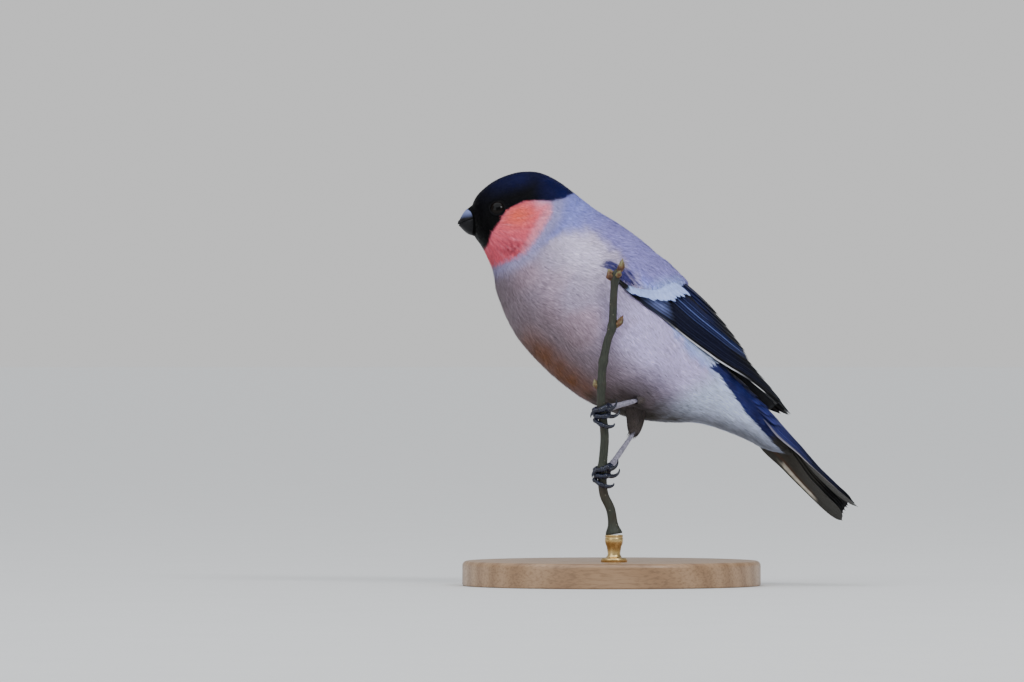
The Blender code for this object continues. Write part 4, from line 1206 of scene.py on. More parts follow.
@dataclass(frozen=True)
class Vane:
    """A feather on a sheet: the ends of its shaft, the widths of its outer and inner web, and its height."""

    tier: Tier
    root: tuple[float, float]
    tip: tuple[float, float]
    outer: float
    inner: float
    height: float
    sink: float = 0.3
    drop: float = 0.5
    pointed: float = 0.75
    neck: float = 0.55
    # strength of the painted sheen on a flight feather's edge or on a primary covert; on greater coverts, where the
    # pale tip begins
    shine: float = 0.5
    thick: float = 0.14

    def colours(self, across: Array, along: Array, under: Array) -> Array:
        """The feather's linear colours.

        Args:
            across: From -1 at the outer edge, by 0 at the shaft, to 1 at the inner edge.
            along: From 0 at the quill to 1 at the tip.
            under: True on the lower face.

        Returns:
            One colour for each place.
        """
        base = np.zeros((*across.shape, 3)) + Tone.WING_BLACK.linear()
        edge = ease((-across - 0.64) / 0.2)
        rim = ease((-across - 0.84) / 0.14)
        outer_web = ease(-across * 4)
        if self.tier is Tier.OUTER_PRIMARY:
            line = blend(along, ((0.04, 0.0), (0.12, 0.5), (0.38, 0.6), (0.48, 0.95), (0.68, 0.95), (0.78, 0.0)))
            base = paint(base, Tone.WING_PALE, line * ease((-across - 0.42) / 0.25))
        elif self.tier is Tier.PRIMARY:
            # painted sheen: blue gloss on the outer web and light along the rim
            base = paint(base, Tone.WING_PAINTED_GLOSS, 0.2 * outer_web * (1 - ease((along - 0.6) / 0.3)))
            base = paint(base, Tone.WING_EDGE_PAINTED_SHEEN, self.shine * rim)
        elif self.tier is Tier.SECONDARY:
            # painted sheen: blue gloss on the outer web and bright lines of light along the edge
            base = paint(base, Tone.WING_PAINTED_GLOSS, 0.5 * outer_web)
            base = paint(base, Tone.WING_LINE_PAINTED_SHEEN, self.shine * (edge if self.shine > 0.5 else rim))
        elif self.tier is Tier.TERTIAL:
            # painted sheen: blue gloss on the outer web and a little light along the rim
            base = paint(base, Tone.WING_PAINTED_GLOSS, 0.7 * outer_web * (1 - ease((along - 0.4) / 0.45)))
            base = paint(base, Tone.WING_EDGE_PAINTED_SHEEN, 0.3 * rim)
        elif self.tier is Tier.GREATER_COVERT:
            base = paint(base, Tone.BAR, ease((along - self.shine) / 0.16) * (1 - 0.12 * ease(across * 2)))
        elif self.tier is Tier.PRIMARY_COVERT:
            pale = ease((1.04 - along) / 0.3) * ease((along - 0.35) / 0.3)
            # pale grey edges and painted grey sheen on the primary coverts
            base = paint(base, Tone.COVERT_PALE_EDGE_AND_SHEEN, self.shine * pale * (0.55 + 0.45 * outer_web))
        elif self.tier is Tier.WRIST_COVERT:
            base = paint(base, Tone.WRIST, 0.85)
        elif self.tier is Tier.TAIL_COVERT:
            base = paint(base, Tone.BLUE_BLACK, 1.0)
            # painted sheen: blue gloss, stronger towards the tip and weaker along the shaft
            base = paint(base, Tone.BLUE_PAINTED_GLOSS, 0.3 + 0.35 * ease((along - 0.4) / 0.5) - 0.3 * ease(1 - np.abs(across) * 5))
        else:
            base = paint(base, Tone.BLUE_BLACK, 0.8)
            # painted sheen: blue gloss on the outer web
            base = paint(base, Tone.BLUE_PAINTED_GLOSS, 0.6 * outer_web * (1 - ease((along - 0.72) / 0.2)))
        if self.tier in (Tier.TAIL, Tier.OUTER_TAIL, Tier.TAIL_COVERT):
            base = np.where(under[..., None], Tone.UNDER_BROWN.linear(), base)
        if self.tier is Tier.TAIL:
            base = paint(base, Tone.WING_BLACK, 0.85 * under * ease((along - 0.66) / 0.16))
        if self.tier is Tier.OUTER_TAIL:
            base = paint(base, Tone.TAIL_RUST, 0.5 * under * ease(1 - np.abs(across + 0.06) / 0.2) * ease((0.8 - along) / 0.1))
            reach = blend(along, ((0.36, 0.04), (0.5, 0.24), (0.7, 0.27), (0.86, 0.03)))
            line = ease((reach - np.abs(across + 0.50)) / 0.1) * ease((along - 0.36) / 0.06) * ease((0.87 - along) / 0.05)
            base = paint(base, Tone.STREAK, 0.85 * line * under)
            band = blend(along, ((0.04, 0.1), (0.3, 0.25), (0.45, 0.4), (0.76, 0.4), (0.83, 0.0)))
            base = paint(base, Tone.STREAK, band * ease((-across - 0.3) / 0.3) * (1 - under))
        return base


@dataclass
class VaneGrid:
    """The closed grid that every larger feather is stamped from."""

    columns: tuple[float, ...] = (-1.0, -0.86, -0.62, -0.36, -0.12, 0.0, 0.10, 0.22, 0.5, 0.8, 1.0)
    along: int = 26
    places: Array = field(init=False)
    faces: list[list[int]] = field(init=False)

    def __post_init__(self) -> None:
        """Make the grid once and give it its thickness."""
        bm = bmesh.new()
        bmesh.ops.create_grid(bm, x_segments=len(self.columns) - 1, y_segments=self.along, size=1.0)
        bmesh.ops.solidify(bm, geom=bm.faces[:], thickness=1.0)
        bmesh.ops.recalc_face_normals(bm, faces=bm.faces)
        spots = np.array([vert.co for vert in bm.verts])
        spots[:, 2] -= spots[:, 2].max()
        depth = -spots[:, 2] / max(-spots[:, 2].min(), 1e-9)
        self.places = np.stack((spots[:, 0], (spots[:, 1] + 1) / 2, depth), axis=-1)
        self.faces = [[vert.index for vert in face.verts] for face in bm.faces]
        bm.free()

    def stamp(self, vane: Vane, sheet: Callable[..., Array], side: int, rng: np.random.Generator) -> tuple:
        """One feather's points, colours and vane map."""
        across, along, under = self.places.T
        across = np.interp(across, np.linspace(-1, 1, len(self.columns)), self.columns)
        along = 1 - (1 - along) ** 1.35
        base = vane.neck + (1 - vane.neck) * ease(along / 0.35)
        over = np.clip((along - vane.pointed) / (1 - vane.pointed), 0, 1)
        web = base * np.sqrt(np.clip(1 - over**2, 0, 1)) ** 1.1 + 0.02
        reach = np.where(across < 0, vane.outer, vane.inner)
        length = vane.tip[0] - vane.root[0]
        curve = 0.02 * length * rng.normal() * 0.25 * along**2
        at = vane.root[0] + length * along - 0.35 * (1 - web) * vane.outer * np.abs(across)
        shaft = lerp(vane.root[1], vane.tip[1], along) + curve
        height = vane.height - vane.sink * (1 - along) ** 2 * 2
        fall = np.where(across > 0, vane.drop * across**2, 0.10 * across**2) * web
        ridge = 0.10 * np.exp(-((across / 0.09) ** 2)) * (1 - 0.6 * along)
        height = height - fall + ridge - vane.thick * (1 - 0.5 * along) * under
        points = sheet(at, shaft + across * reach * web, height, side)
        colours = vane.colours(across, along, under > 0.5) * (1 + rng.normal() * 0.05)
        chart = np.stack((across * reach * MM, along * length * MM), axis=-1)
        return points, colours, chart

    def build(
        self, name: str, vanes: Sequence[tuple[Vane, int]], sheet: Callable[..., Array],
        material: bpy.types.Material, seed: int, *replaced: str,
    ) -> bpy.types.Object:
        """A piece of many feathers.

        Args:
            name: Name of the piece.
            vanes: The feathers, each with its side.
            sheet: Gives the points of the sheet that they lie on.
            material: Their finish.
            seed: Seed of their small differences.
            replaced: The frame's nodes that the piece stands for.

        Returns:
            The object.
        """
        rng = np.random.default_rng(seed)
        stamped = [self.stamp(vane, sheet, side, rng) for vane, side in vanes]
        each = len(self.places)
        faces = []
        for number, (_, side) in enumerate(vanes):
            for face in self.faces:
                turned = face if side > 0 else face[::-1]
                faces.append([index + number * each for index in turned])
        points = ON_BIRD.metres(np.concatenate([one[0] for one in stamped]))
        mesh = bpy.data.meshes.new(name)
        mesh.from_pydata(points.tolist(), [], faces)
        colour_points(mesh, np.concatenate([one[1] for one in stamped]))
        chart = np.concatenate([one[2] for one in stamped])
        corners = np.empty(len(mesh.loops), dtype=np.int32)
        mesh.loops.foreach_get("vertex_index", corners)
        layer = mesh.uv_layers.new(name="Vane")
        layer.uv.foreach_set("vector", chart[corners].astype(np.float32).ravel())
        mesh.shade_smooth()
        mesh.set_sharp_from_angle(angle=math.radians(50))
        mesh.materials.append(material)
        return new_object(name, mesh, Slot.FLIGHT, *replaced)


@dataclass(frozen=True)
class Wing:
    """A folded wing's tiers of feathers, from the lowest to the highest."""

    side: int
    primary_tips: tuple[float, ...] = (61.4, 63.2, 63.6, 62.6, 58.4, 53.8, 50.0, 46.8, 44.0)

    def primaries(self) -> Iterator[Vane]:
        """The nine outer flight feathers, the outermost lowest."""
        for i, tip in enumerate(self.primary_tips):
            share = i / (len(self.primary_tips) - 1)
            shine = (0.0, 0.5, 0.3, 0.55, 0.25, 0.4, 0.15, 0.3, 0.15)[i]
            if i == 0:
                yield Vane(Tier.OUTER_PRIMARY, (-9.0, 2.3), (tip, 0.35), 0.95, 4.2, -1.5, pointed=0.72)
                continue
            root = (lerp(-9.0, 6.0, share), 1.3 + 1.0 * i)
            end = (tip, lerp(1.3, 7.4, share))
            yield Vane(Tier.PRIMARY, root, end, 1.3, 4.2 - 0.1 * i, -1.7 + 0.2 * i, pointed=0.72, shine=shine)

    def secondaries(self) -> Iterator[Vane]:
        """The six inner flight feathers."""
        for i in range(6):
            share = i / 5
            root = (lerp(6.0, 3.0, share), 9.6 + 1.1 * i)
            shine = (0.35, 0.2, 0.51, 0.15, 0.4, 0.1)[i]
            end = (lerp(42.0, 38.6, share), 8.8 + 0.95 * i)
            yield Vane(Tier.SECONDARY, root, end, 1.7, 4.4, 0.14 * i, shine=shine)

    def tertials(self) -> Iterator[Vane]:
        """The broad feathers that cover the folded wing, each shorter than the one beneath it."""
        ends = ((38.8, 13.2, 4.4), (37.0, 14.9, 4.8), (33.8, 16.6, 5.4), (29.6, 18.6, 6.0), (24.6, 21.2, 6.4))
        for i, (tip, across, inner) in enumerate(ends):
            root = (3.0, 15.6 + 1.8 * i)
            height = 0.9 + 0.2 * i
            yield Vane(Tier.TERTIAL, root, (tip, across), 2.8, inner, height, sink=1.2, drop=1.3, neck=0.2)

    def greater_coverts(self) -> Iterator[Vane]:
        """The tier whose pale tips make the wing bar."""
        line = np.array(WING_SHEET.bar_line)
        steps = np.concatenate([[0.0], np.cumsum(np.hypot(*np.diff(line, axis=0).T))])
        for i, reach in enumerate(np.linspace(4.6, 26.4, 17)):
            across, along = (float(np.interp(reach, steps, line[:, k])) for k in (0, 1))
            root = (along - 12.0, across + 1.4)
            end = (along + 0.55 * math.sin(2.4 * i), across + 0.15 * math.sin(5.1 * i))
            height = 0.1 + 0.09 * i + 0.05 * (i % 2)
            pale = max(0.28, 0.86 - 0.12 * i)
            yield Vane(Tier.GREATER_COVERT, root, end, 0.95, 1.8, height, 0.8, pointed=0.66, neck=0.35, shine=pale)

    def primary_coverts(self) -> Iterator[Vane]:
        """The narrow stiff tier over the primaries' roots, with the alula ahead of it."""
        for i in range(7):
            share = i / 6
            root = (lerp(-10.0, -3.0, share), 1.3 + 0.9 * i)
            end = (lerp(17.5, 10.5, share), 1.2 + 1.0 * i)
            shine = (0.1, 0.45, 0.8, 0.95, 0.8, 0.9, 0.7)[i]
            yield Vane(Tier.PRIMARY_COVERT, root, end, 0.8, 1.6, -0.9 + 0.13 * i, pointed=0.5, shine=shine)
        for i in range(3):
            end = (1.5 - 2.6 * i, 1.3 + 1.2 * i)
            yield Vane(Tier.WRIST_COVERT, (-12.5, 1.8 + 1.2 * i), end, 1.1, 1.9, -0.1 + 0.2 * i)

    def bed(self, turn: Array, share: Array) -> Array:
        """The closed sheet under the flight feathers that their bases make."""
        along = lerp(-11.0, 58.0, share)
        low = blend(along, ((-11, 2.0), (40, 1.2), (58, 1.0)))
        high = blend(along, ((-11, 8.0), (0, 20.0), (20, 26.0), (28, 24.0), (38, 18.5), (46, 11.5), (58, 7.0)))
        around = 2 * math.pi * turn
        across = (low + high) / 2 + (high - low) / 2 * np.sign(np.cos(around)) * np.abs(np.cos(around)) ** 0.6
        inwards = ease((across - 17) / 8) * blend(along, ((8, 0.0), (22, 1.0)))
        return WING_SHEET.point(along, across, -2.5 + 0.42 * np.sin(around) - 1.0 * inwards, self.side)

    def build(self, word: str, grid: VaneGrid, material: bpy.types.Material, under: bpy.types.Material) -> None:
        """Make the wing's pieces.

        Args:
            word: The wing's side.
            grid: The grid of every feather.
            material: The feathers' finish.
            under: The finish of the sheet beneath them.
        """
        flight = [(vane, self.side) for tier in (self.primaries, self.secondaries, self.tertials) for vane in tier()]
        grid.build("flight_feathers_" + word, flight, WING_SHEET.point, material, 40 + self.side, "wing_" + word)
        coverts = [(vane, self.side) for tier in (self.primary_coverts, self.greater_coverts) for vane in tier()]
        grid.build("wing_coverts_" + word, coverts, WING_SHEET.point, material, 50 + self.side)
        finished(shaped(40, 40, self.bed, ON_BIRD, True), "underwing_" + word, under, Slot.FLIGHT)


@dataclass(frozen=True)
class Tail:
    """Twelve feathers on an arch, and the upper tail coverts over their roots."""

    tip: float = 98.5
    fork: float = 1.0
    half_width: float = 10.9
    ridge: Curve = ((44, 13.4), (56, 13.2), (64, 12.3), (73, 11.0), (82, 9.1), (91, 8.6), (100, 9.0))
    fall: Curve = ((44, 0.075), (64, 0.072), (73, 0.043), (82, 0.020), (91, 0.014), (100, 0.014))

    def point(self, along: Array, across: Array, height: Array, side: int) -> Array:
        """Points of the tail: along the trunk, inwards from its outer edge, and out from its arch."""
        reach = self.half_width - across
        return columns(side * reach, along, blend(along, self.ridge) + height - blend(along, self.fall) * reach**2)

    def feathers(self) -> Iterator[tuple[Vane, int]]:
        """The six feathers of each side, from the outermost, which lies lowest, to the central one."""
        for side in (1, -1):
            for i in range(6):
                outer = 2.05 + 0.35 * i
                inner = 5.0 if i < 5 else 5.6
                height = 0.4 * (i - 5) - (0.32 if i == 5 and side < 0 else 0.0)
                tier = Tier.TAIL if i else Tier.OUTER_TAIL
                root = (50.5, self.half_width - 5.4 + 0.82 * i)
                end = (self.tip - 0.2 * i + (self.fork if i == 0 else 0.0), i + outer)
                yield Vane(tier, root, end, outer, inner, height, sink=0.0, drop=0.1, pointed=0.86), side

    def coverts(self) -> Iterator[tuple[Vane, int]]:
        """The upper tail coverts in rows, the hindmost lowest."""
        for row, tip in enumerate((66.5, 62.5, 58.0, 53.5, 49.0)):
            for i in range(9):
                reach = (i - 4) * (1.75 - 0.04 * row)
                end = (tip - 0.075 * reach**2, self.half_width - abs(reach))
                root = (tip - 15.0, self.half_width - abs(reach) * 0.92)
                height = -0.1 + 0.22 * row - 0.05 * abs(i - 4) + 0.04 * (i % 2)
                side = 1 if reach >= 0 else -1
                yield Vane(Tier.TAIL_COVERT, root, end, 1.35, 1.35, height, sink=0.7, drop=0.2, pointed=0.62, neck=0.4), side

    def build(self, grid: VaneGrid, material: bpy.types.Material) -> None:
        """Make the tail's pieces."""
        grid.build("tail_feathers", list(self.feathers()), self.point, material, 61, "tail")
        grid.build("tail_coverts", list(self.coverts()), self.point, material, 67)


@dataclass(frozen=True)
class Eye:
    """An eyeball with a raised cornea, and the ring of lid round it."""

    side: int
    place: tuple[float, float, float] = (7.6, -50.1, -0.2)
    facing: tuple[float, float, float] = (1.0, -0.42, 0.10)
    radius: float = 3.2
    opening: float = 2.4

    def centre(self) -> Array:
        """The middle of the eyeball."""
        return np.array(self.place) * np.array((self.side, 1, 1))

    def outward(self) -> Array:
        """The way the eye looks."""
        return unit(np.array(self.facing) * np.array((self.side, 1, 1)))

    def frame(self) -> tuple[Array, Array, Array]:
        """Two directions across the eye, and the way it looks."""
        outward = self.outward()
        across = unit(np.cross(outward, (0.0, 0.0, 1.0)))
        return across, np.cross(outward, across), outward

    def near(self, points: Array) -> Array:
        """Whether any point of each tuft would cover the eye."""
        off = points - self.centre()
        ahead = off @ self.outward()
        aside = np.sqrt(np.maximum(np.sum(off**2, axis=-1) - ahead**2, 0))
        hits = (aside < self.opening + 0.15) & (ahead > 0)
        return hits.reshape(len(points), -1).any(axis=1)

    def ball(self, turn: Array, share: Array) -> Array:
        """The eyeball's shape, from the cornea's middle to the back."""
        across, over, outward = self.frame()
        polar = math.pi * share
        bulge = self.radius + 0.1 * np.exp(-((polar / 0.9) ** 2))
        spoke = np.cos(2 * math.pi * turn)[:, None] * across + np.sin(2 * math.pi * turn)[:, None] * over
        way = spoke * np.sin(polar)[:, None] + outward * np.cos(polar)[:, None]
        return self.centre() + way * bulge[:, None]

    def lid(self, turn: Array, share: Array) -> Array:
        """The lid's ring, beaded along its edge and a little narrower above and below."""
        across, over, outward = self.frame()
        depth = math.sqrt(self.radius**2 - self.opening**2)
        angle = 2 * math.pi * turn
        loop = 2 * math.pi * share
        bead = 1 + 0.14 * np.sin(34 * angle)
        reach = self.opening * (1 - 0.05 * np.sin(angle) ** 2) + 0.24 + 0.22 * bead * np.cos(loop)
        spoke = np.cos(angle)[:, None] * across + np.sin(angle)[:, None] * over
        height = depth + 0.02 + 0.28 * np.sin(loop)
        return self.centre() + spoke * reach[:, None] + outward * height[:, None]

    def build(self, word: str, eye_finish: bpy.types.Material, lid_finish: bpy.types.Material) -> None:
        """Make the eyeball and the lid."""
        finished(shaped(48, 32, self.ball, ON_BIRD), "eyeball_" + word, eye_finish, Slot.EYE, "eye_" + word)
        finished(shaped(170, 12, self.lid, ON_BIRD), "eyelid_" + word, lid_finish, Slot.EYE)


@dataclass(frozen=True)
class Bill:
    """The short, deep, hooked bill, as two halves that meet along a curved line."""

    root: tuple[float, float, float] = (0.0, -54.0, -7.4)
    forward: tuple[float, float, float] = (0.0, -0.686, -0.727)
    upward: tuple[float, float, float] = (0.0, -0.727, 0.686)
    ahead: tuple[float, ...] = (-2.2, 0.0, 1.3, 2.5, 3.5, 4.2)
    top: tuple[float, ...] = (4.0, 4.3, 3.95, 3.0, 1.75, 0.7)
    meeting: tuple[float, ...] = (0.55, 0.45, 0.30, 0.05, -0.20, -0.45)
    bottom: tuple[float, ...] = (-4.0, -4.4, -4.1, -3.2, -2.1, -1.25)
    half_width: tuple[float, ...] = (3.7, 4.0, 3.7, 3.0, 2.1, 1.2)
    tips: tuple[tuple[float, float], tuple[float, float]] = ((4.85, -0.95), (4.45, -0.95))

    def half(self, upper: bool) -> Callable[[Array, Array], Array]:
        """The shape of one half: round it from one edge over the arch and back under, and along it to its tip."""
        lines = np.array((self.ahead, self.top if upper else self.bottom, self.meeting, self.half_width)).T
        lines = catmull(lines, 6)
        outwards = 1 if upper else -1
        tip_ahead, tip_up = self.tips[0 if upper else 1]
        last = np.array((tip_ahead, tip_up + 0.08 * outwards, tip_up, 0.12))
        rounding = np.sqrt(np.linspace(0, 1, 7))[1:, None]
        end = lines[-1] + (last - lines[-1]) * (1 - np.sqrt(1 - rounding**2 + 1e-9))
        end[:, 0] = lines[-1, 0] + (tip_ahead - lines[-1, 0]) * rounding[:, 0]
        lines = np.concatenate([lines, end])
        places = np.linspace(0, 1, len(lines))

        def shape(turn: Array, share: Array) -> Array:
            ahead, peak, flat, wide = (np.interp(share, places, lines[:, k]) for k in range(4))
            flat = flat + outwards * GAP * 0.3
            arch = np.clip(turn / 0.72, 0, 1) * math.pi
            under = np.clip((turn - 0.72) / 0.28, 0, 1)
            side = np.where(turn <= 0.72, np.cos(arch), -1 + 2 * under)
            rise = np.where(turn <= 0.72, np.sin(arch) ** 0.8, -0.10 * np.sin(under * math.pi))
            culmen = 0.10 * np.exp(-((side / 0.12) ** 2)) if upper else 0.0
            height = flat + (peak - flat) * (rise + culmen * (rise > 0))
            root, forward, upward = (np.array(value) for value in (self.root, self.forward, self.upward))
            spot = root + ahead[:, None] * forward + height[:, None] * upward
            spot[:, 0] += side * wide
            return spot

        return shape

    def cuff(self, body: Form) -> Form:
        """The small feathered form over the bill's root, with its rows running forward over the bill."""
        shares = np.linspace(0.0, 1.0, 16)[:, None]
        turns = (np.arange(48) / 48)[None, :]
        start = body.sample(body.skin, np.full((1, 48), 0.012), turns)
        angle = 2 * math.pi * turns
        ahead = 0.15 + 1.15 * np.clip(np.sin(angle), 0, 1) ** 1.5 + 0.35 * np.clip(-np.sin(angle), 0, 1)
        height = np.where(np.sin(angle) > 0, 4.05, 4.15) * np.sign(np.sin(angle)) * np.abs(np.sin(angle)) ** 0.85
        root, forward, upward = (np.array(value) for value in (self.root, self.forward, self.upward))
        end = root + ahead[..., None] * forward + height[..., None] * upward
        end[..., 0] += 3.8 * np.sign(np.cos(angle)) * np.abs(np.cos(angle)) ** 0.9
        skin = lerp(start, end, shares[..., None])
        middle = skin.mean(axis=1, keepdims=True)
        return Form(skin, middle + (skin - middle) * 1.05)

    def build(self, material: bpy.types.Material) -> None:
        """Make both halves."""
        upper = shaped(56, 60, self.half(True), ON_BIRD, True)
        finished(upper, "bill_upper_half", material, Slot.HORN, "bill_upper")
        lower = shaped(56, 60, self.half(False), ON_BIRD, True)
        finished(lower, "bill_lower_half", material, Slot.HORN, "bill_lower")


@dataclass(frozen=True)
class Bud:
    """A bud on the stem: its height, the way it faces, its length, its width, and how far it leans out."""

    height: float
    turn: float
    length: float
    width: float
    lean: float


@dataclass(frozen=True)
class Stem:
    """The cut green stem that the bird grips, with its nodes and buds, in the row frame."""

    path: tuple[tuple[float, float, float], ...] = (
        (0.6, -18.6, 17.0),
        (-0.4, -18.8, 24.5),
        (-2.7, -19.0, 30.0),
        (-3.1, -19.3, 37.5),
        (-2.4, -19.8, 48.2),
        (-3.5, -20.4, 58.2),
        (-3.4, -20.8, 65.2),
        (-3.0, -21.2, 71.0),
        (-1.5, -21.6, 78.6),
        (0.0, -21.8, 83.5),
        (0.5, -22.1, 93.7),
        (1.3, -22.3, 101.5),
    )
    nodes: tuple[float, ...] = (17.0, 38.0, 64.5, 72.0, 83.0, 98.0)
    radius: float = 1.4
    buds: tuple[Bud, ...] = (
        Bud(98.0, 172, 3.6, 1.05, 0.45),
        Bud(99.8, 200, 2.6, 0.8, 0.9),
        Bud(100.2, 15, 5.4, 1.0, 0.3),
        Bud(99.0, 55, 2.8, 0.85, 0.8),
        Bud(83.0, 5, 5.0, 0.9, 0.75),
        Bud(63.2, 178, 3.8, 0.8, 0.4),
    )

    def centre(self, height: Array) -> Array:
        """The stem's centre at heights above the floor."""
        curve = catmull(np.array(self.path), 8)
        return np.stack([np.interp(height, curve[:, 2], curve[:, k]) for k in range(3)], axis=-1)

    def beside(self, height: Array, turn: Array, reach: Array) -> Array:
        """Points beside the stem: turn is 0 towards +X and 90 towards the viewer at -Y."""
        angle = np.radians(turn)
        spoke = columns(np.cos(angle), -np.sin(angle), np.zeros_like(angle * 1.0))
        return self.centre(height) + spoke * np.asarray(reach)[..., None]

    def build(self, bark: bpy.types.Material, bud: bpy.types.Material) -> None:
        """Make the stem and its buds."""
        heights = np.linspace(self.path[0][2], self.path[-1][2], 240)
        knots = np.max([np.exp(-(((heights - node) / 1.4) ** 2)) for node in self.nodes], axis=0)
        rings = np.max([np.exp(-(((heights - node - 0.6) / 0.28) ** 2)) for node in self.nodes[1:]], axis=0)
        radii = self.radius + lerp(0.1, -0.2, (heights - 17) / 85) + 0.26 * knots + 0.08 * rings
        radii += 0.95 * np.exp(-(((heights - 17.0) / 2.4) ** 2))
        tip = np.sqrt(np.clip((101.5 - heights) / 1.2, 0, 1))
        spine = self.centre(heights)
        bm = shaped(28, 239, tube_shape(spine, np.maximum(radii * tip, 0.3)), ON_ROW, True)
        finished(bm, "twig", bark, Slot.BARK, "stem")
        scales = [mesh for one in self.buds for mesh in self.bud_scales(one)]
        finished(gathered(scales), "buds", bud, Slot.BARK)

    def bud_scales(self, bud: Bud) -> Iterator[bmesh.types.BMesh]:
        """A bud's core and the pointed scales wrapped round it."""
        base = self.beside(np.array(bud.height), np.array(bud.turn), np.array(0.7))
        out = self.beside(np.array(bud.height), np.array(bud.turn), np.array(1.0)) - self.centre(np.array(bud.height))
        axis = unit(out * bud.lean + np.array((0.0, 0.0, 1.0)))
        across = unit(np.cross(axis, out))
        outer = np.cross(across, axis)
        shares = np.linspace(0, 1, 16)
        curl = out * (0.6 * ease(shares * 2))[:, None] - outer * (bud.length * 0.10 * shares**2)[:, None]
        spine = base + curl + axis * (bud.length * 0.92 * shares)[:, None]
        girth = bud.width * blend(shares, ((0.0, 0.5), (0.2, 0.82), (0.45, 0.86), (0.7, 0.6), (0.9, 0.26), (1.0, 0.05)))
        yield shaped(14, 15, tube_shape(spine, girth), ON_ROW, True)
        for k in range(5):
            turn = 2 * math.pi * (k * 0.382)
            start = 0.02 + 0.10 * k

            def scale(u: Array, v: Array, turn: float = turn, start: float = start) -> Array:
                share = start + v * (0.52 - 0.02 * k)
                wide = 0.95 * np.sin(math.pi * np.clip(v * 0.9 + 0.08, 0, 1)) ** 0.6 * (1 - v**4)
                angle = turn + (u - 0.5) * 2 * wide
                reach = np.interp(share, shares, girth) * (1.12 + 0.16 * v) + 0.10
                spot = np.stack([np.interp(share, shares, spine[:, axis_k]) for axis_k in range(3)], axis=-1)
                return spot + (np.cos(angle)[:, None] * outer + np.sin(angle)[:, None] * across) * reach[:, None]

            leaf = shaped(6, 8, scale, ON_ROW)
            bmesh.ops.solidify(leaf, geom=leaf.faces[:], thickness=0.00012)
            yield leaf


@dataclass(frozen=True)
class Toe:
    """One toe: its sweep round the stem, its heights at the palm and the end, its tilt, radius and claw."""

    sweep: float
    start: float
    end: float
    tilt: float
    radius: float
    claw: float
    curl: float


